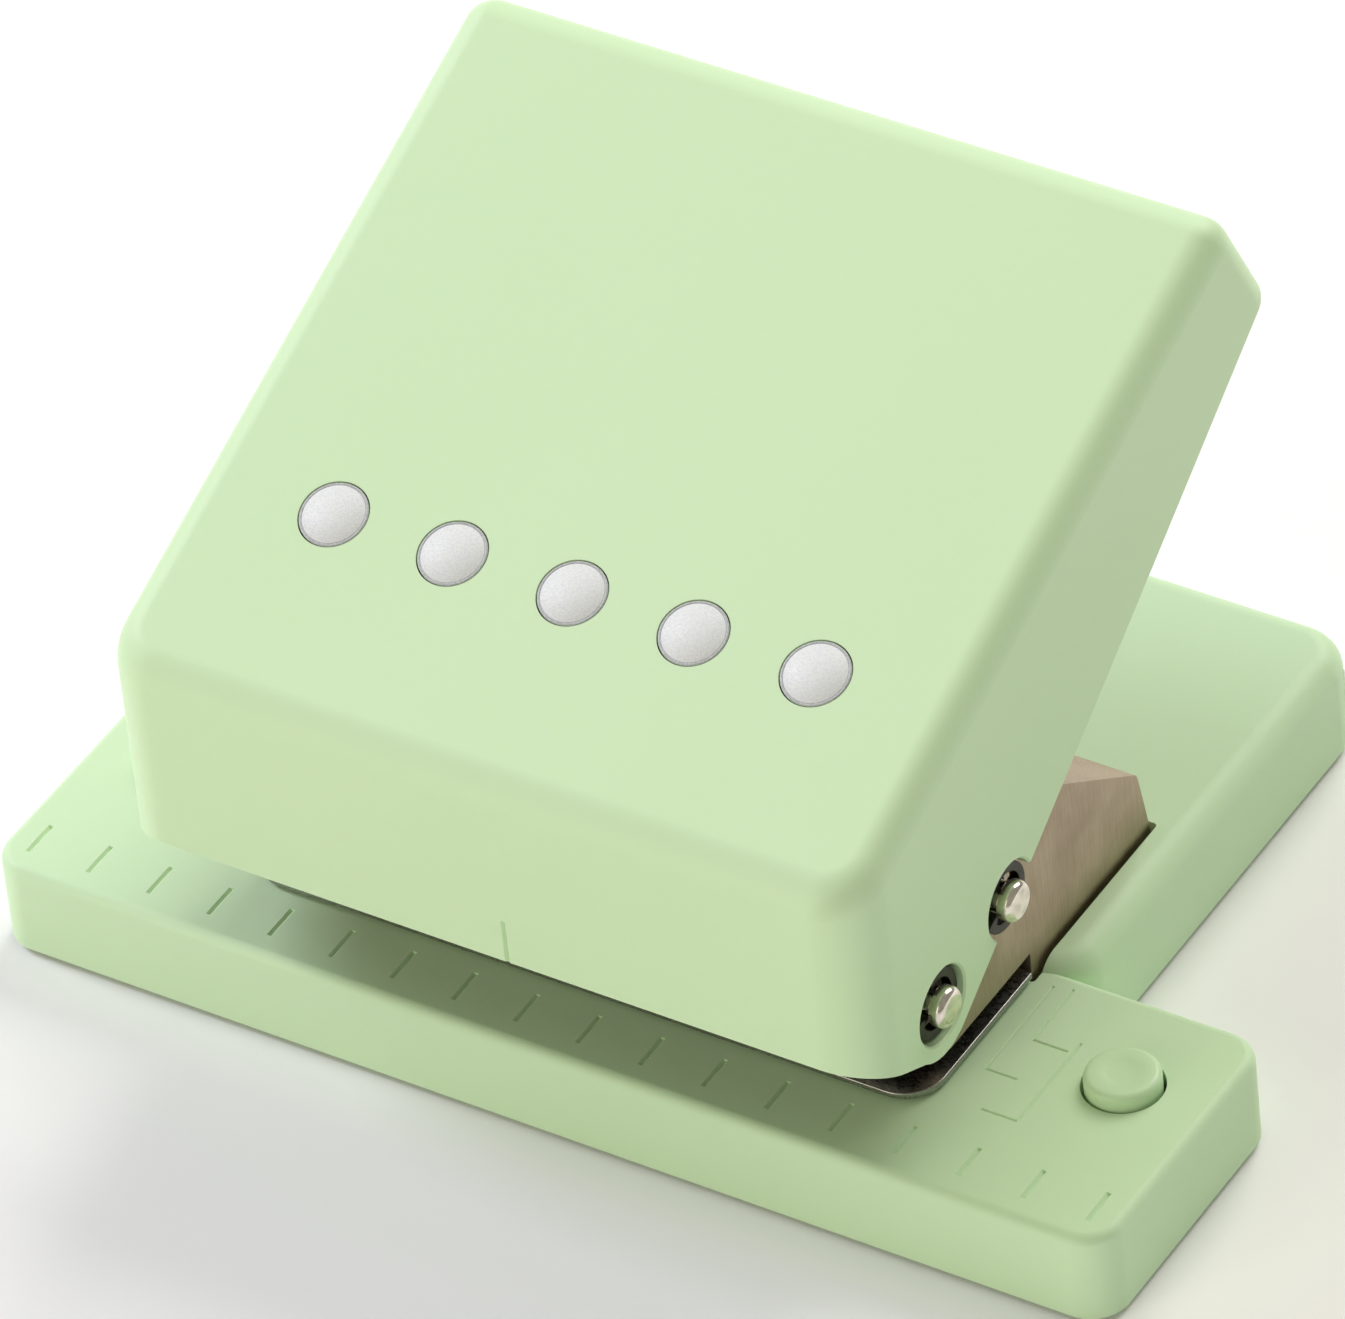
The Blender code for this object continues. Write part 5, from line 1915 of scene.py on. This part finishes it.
    def side_holes(self) -> list[Solid]:
        """Cutters for the holes round the two pins, in pairs that don't touch.

        Returns:
            The cutters.
        """
        hole, face, ease = self.hole, self.half, 0.15
        inner, outer = face - self.side_wall - 1, face + 1
        holes = []
        for side in (-1, 1):
            for u, n in ((0.0, 0.0), self.datum.drive):
                profile = [(0, side * inner), (hole, side * inner), (hole, side * (face - ease)),
                           (hole + ease, side * face), (hole + ease, side * outer), (0, side * outer)]
                holes.append(Solid.turned(profile, Axis.X, 56).at(0, u, n))
        return holes

    def index_line(self) -> Solid:
        """Cutter for the short upright index line at the front's lower edge.

        Returns:
            The cutter.
        """
        u, n = self.front_low
        lean = math.atan2(self.front_top - u, self.top - n)
        section = [(-0.45, -0.3), (0.45, -0.3), (0, 0.22)]
        line = Solid.prism(section, -1.0, 3.6, Axis.Z)
        return line.under(Matrix.Rotation(-lean, 4, "X")).at(self.index_place, u, n)

    def build(self, palette: Palette) -> None:
        """Make the cover.

        Args:
            palette: The punch's finishes.
        """
        cover = self.outside()
        cover.cut(self.inside())
        self.inner_parts(cover)
        seats = [Solid.rod(self.dot_radius + 0.1, self.top - 0.8, self.top + 1).at(x, self.dot_row, 0)
                 for x in self.datum.columns]
        cover.cut(*seats)
        holes = self.side_holes()
        cover.cut(holes[0], holes[2])
        cover.cut(holes[1], holes[3])
        cover.cut(self.index_line())
        cover.under(self.datum.lever)
        cover.piece("top_cover", "lever_unit", Slot.GREEN, palette.cover)


@dataclass
class Inlays:
    """Five light discs in the cover, each with a thin darker rim of painted shade standing for the gap round
    the disc.

    Attributes:
        row: U of the discs.
        top: N of their faces.
        radius: Their radius.
        rim: Width of the rim of painted shade.
        thickness: Their thickness.
    """

    datum: Datum
    row: float = 12.5
    top: float = 17.8
    radius: float = 2.48
    rim: float = 0.2
    thickness: float = 0.5

    def build(self, palette: Palette) -> None:
        """Make the discs.

        Args:
            palette: The punch's finishes.
        """
        r, rim = self.radius, self.rim
        for number, x in enumerate(self.datum.columns, 1):
            profile = [(0, -self.thickness), (r, -self.thickness), (r, -0.04), (r - 0.04, 0),
                       (r - rim + 0.03, 0), (r - rim, -0.03), (r - rim - 0.03, 0.0), (0, 0.0)]
            disc = Solid.turned(profile, steps=72).at(x, self.row, self.top)
            # Rim, sides and underside take the second material: painted shade for the gap between disc and
            # seat.
            for face in disc.shape.faces:
                middle = face.calc_center_median() - Vector((x, self.row, self.top))
                outside = math.hypot(middle.x, middle.y) > r - rim - 0.05
                face.material_index = 1 if outside or middle.z < -0.1 else 0
            disc.under(self.datum.lever)
            # palette.rim is the dark painted shade of the gap round the disc.
            disc.piece(f"dot_{number}", "lever_unit", Slot.DOT, palette.inlay, palette.rim, angle=60)


# ---------------------------------------------------------------------------------------------------------
# Studio


@dataclass(frozen=True)
class Viewpoint:
    """Where the camera stands.

    Attributes:
        target: Point that it looks at, in millimetres.
        azimuth: Bearing of the camera from the front, towards the right, in degrees.
        elevation: Height above the horizon in degrees.
        roll: Turn of the picture in degrees.
        distance: Distance from the target in millimetres.
        lens: Focal length on a 36 mm sensor.
    """

    target: tuple[float, float, float] = (-1.51, -5.63, 23.85)
    azimuth: float = 35.54
    elevation: float = 40.164
    roll: float = 6.39
    distance: float = 887.0
    lens: float = 347.96

    def build(self) -> bpy.types.Object:
        """Make the camera and use it.

        Returns:
            The camera.
        """
        a, e = math.radians(self.azimuth), math.radians(self.elevation)
        back = Vector((math.sin(a) * math.cos(e), -math.cos(a) * math.cos(e), math.sin(e)))
        lens = bpy.data.cameras.new("camera")
        lens.lens, lens.sensor_width, lens.clip_start, lens.clip_end = self.lens, 36.0, 0.05, 20.0
        camera = bpy.data.objects.new("camera", lens)
        bpy.context.scene.collection.objects.link(camera)
        camera.rotation_mode = "QUATERNION"
        camera.location = (Vector(self.target) + back * self.distance) * MM
        level = (-back).to_track_quat("-Z", "Y")
        camera.rotation_quaternion = level @ Matrix.Rotation(math.radians(-self.roll), 3, "Z").to_quaternion()
        bpy.context.scene.camera = camera
        return camera


@dataclass(frozen=True)
class SoftBox:
    """A square area light.

    Attributes:
        name: Light name.
        towards: Direction from the punch to the light.
        distance: Distance in metres.
        size: Side of the square in metres.
        power: Power in watts.
        colour: Light colour.
    """

    name: str
    towards: tuple[float, float, float]
    distance: float
    size: float
    power: float
    colour: Colour = (1.0, 1.0, 1.0)

    def build(self) -> None:
        """Make the light."""
        lamp = bpy.data.lights.new(self.name, "AREA")
        lamp.size, lamp.energy, lamp.color = self.size, self.power, self.colour
        light = bpy.data.objects.new(self.name, lamp)
        bpy.context.scene.collection.objects.link(light)
        way = Vector(self.towards).normalized()
        light.location = way * self.distance
        light.rotation_mode = "QUATERNION"
        light.rotation_quaternion = (-way).to_track_quat("-Z", "Y")


@dataclass(frozen=True)
class Studio:
    """Pale floor, an even surround and soft boxes."""

    surround: Colour = (1.0, 0.97, 0.84)
    strength: float = 0.30
    floor_colour: Colour = (0.95, 0.955, 0.96)
    lights: tuple[SoftBox, ...] = (
        SoftBox("key", (-1.25, -0.10, 1.0), 1.5, 0.50, 10.9, (0.98, 0.98, 1.17)),
        SoftBox("rear", (0.10, 1.0, 0.95), 1.5, 1.0, 16.6, (1.03, 1.0, 0.95)),
        SoftBox("front_fill", (-0.30, -1.0, 0.30), 1.6, 1.2, 10.1, (1.01, 0.91, 0.76)),
    )

    def build(self) -> None:
        """Make the floor, the surround and the lights."""
        world = bpy.data.worlds.new("surround")
        world.use_nodes = True
        world.node_tree.nodes["Background"].inputs["Color"].default_value = (*self.surround, 1)
        world.node_tree.nodes["Background"].inputs["Strength"].default_value = self.strength
        scene = bpy.context.scene
        scene.world = world
        scene.view_settings.view_transform = "Standard"
        shape = bmesh.new()
        bmesh.ops.create_grid(shape, x_segments=2, y_segments=2, size=3.0)
        mesh = bpy.data.meshes.new("floor")
        shape.to_mesh(mesh)
        shape.free()
        floor = bpy.data.objects.new("floor", mesh)
        scene.collection.objects.link(floor)
        sheet = ShaderSheet("floor_paper")
        sheet.fix(Roughness=0.9, Specular_IOR_Level=0.1)
        sheet.shader.inputs["Base Color"].default_value = (*self.floor_colour, 1)
        mesh.materials.append(sheet.material)
        for light in self.lights:
            light.build()


def main() -> None:
    """Build the punch and its studio."""
    logging.basicConfig(level=logging.INFO, format="%(name)s: %(message)s")
    datum = Datum.read()
    palette = Palette()
    Viewpoint().build()
    Studio().build()
    BaseShell(datum).build(palette)
    Feet().build(palette)
    ChipTray(datum).build(palette)
    for side in Side:
        LocatingPeg(side).build(palette)
    PunchFrame(datum).build(palette)
    DieSet(datum).build(palette)
    HingePins(datum).build(palette)
    Punches(datum).build(palette)
    Screws(datum, "frame_screw", 4, "base", ScrewHead.FLAT).build(palette)
    Screws(datum, "die_screw", 2, "base", ScrewHead.FLAT).build(palette)
    Screws(datum, "cover_screw", 4, "lever_unit", ScrewHead.PAN).build(palette)
    LeverChannel(datum).build(palette)
    HandCover(datum).build(palette)
    Inlays(datum).build(palette)


if __name__ == "__main__":
    main()
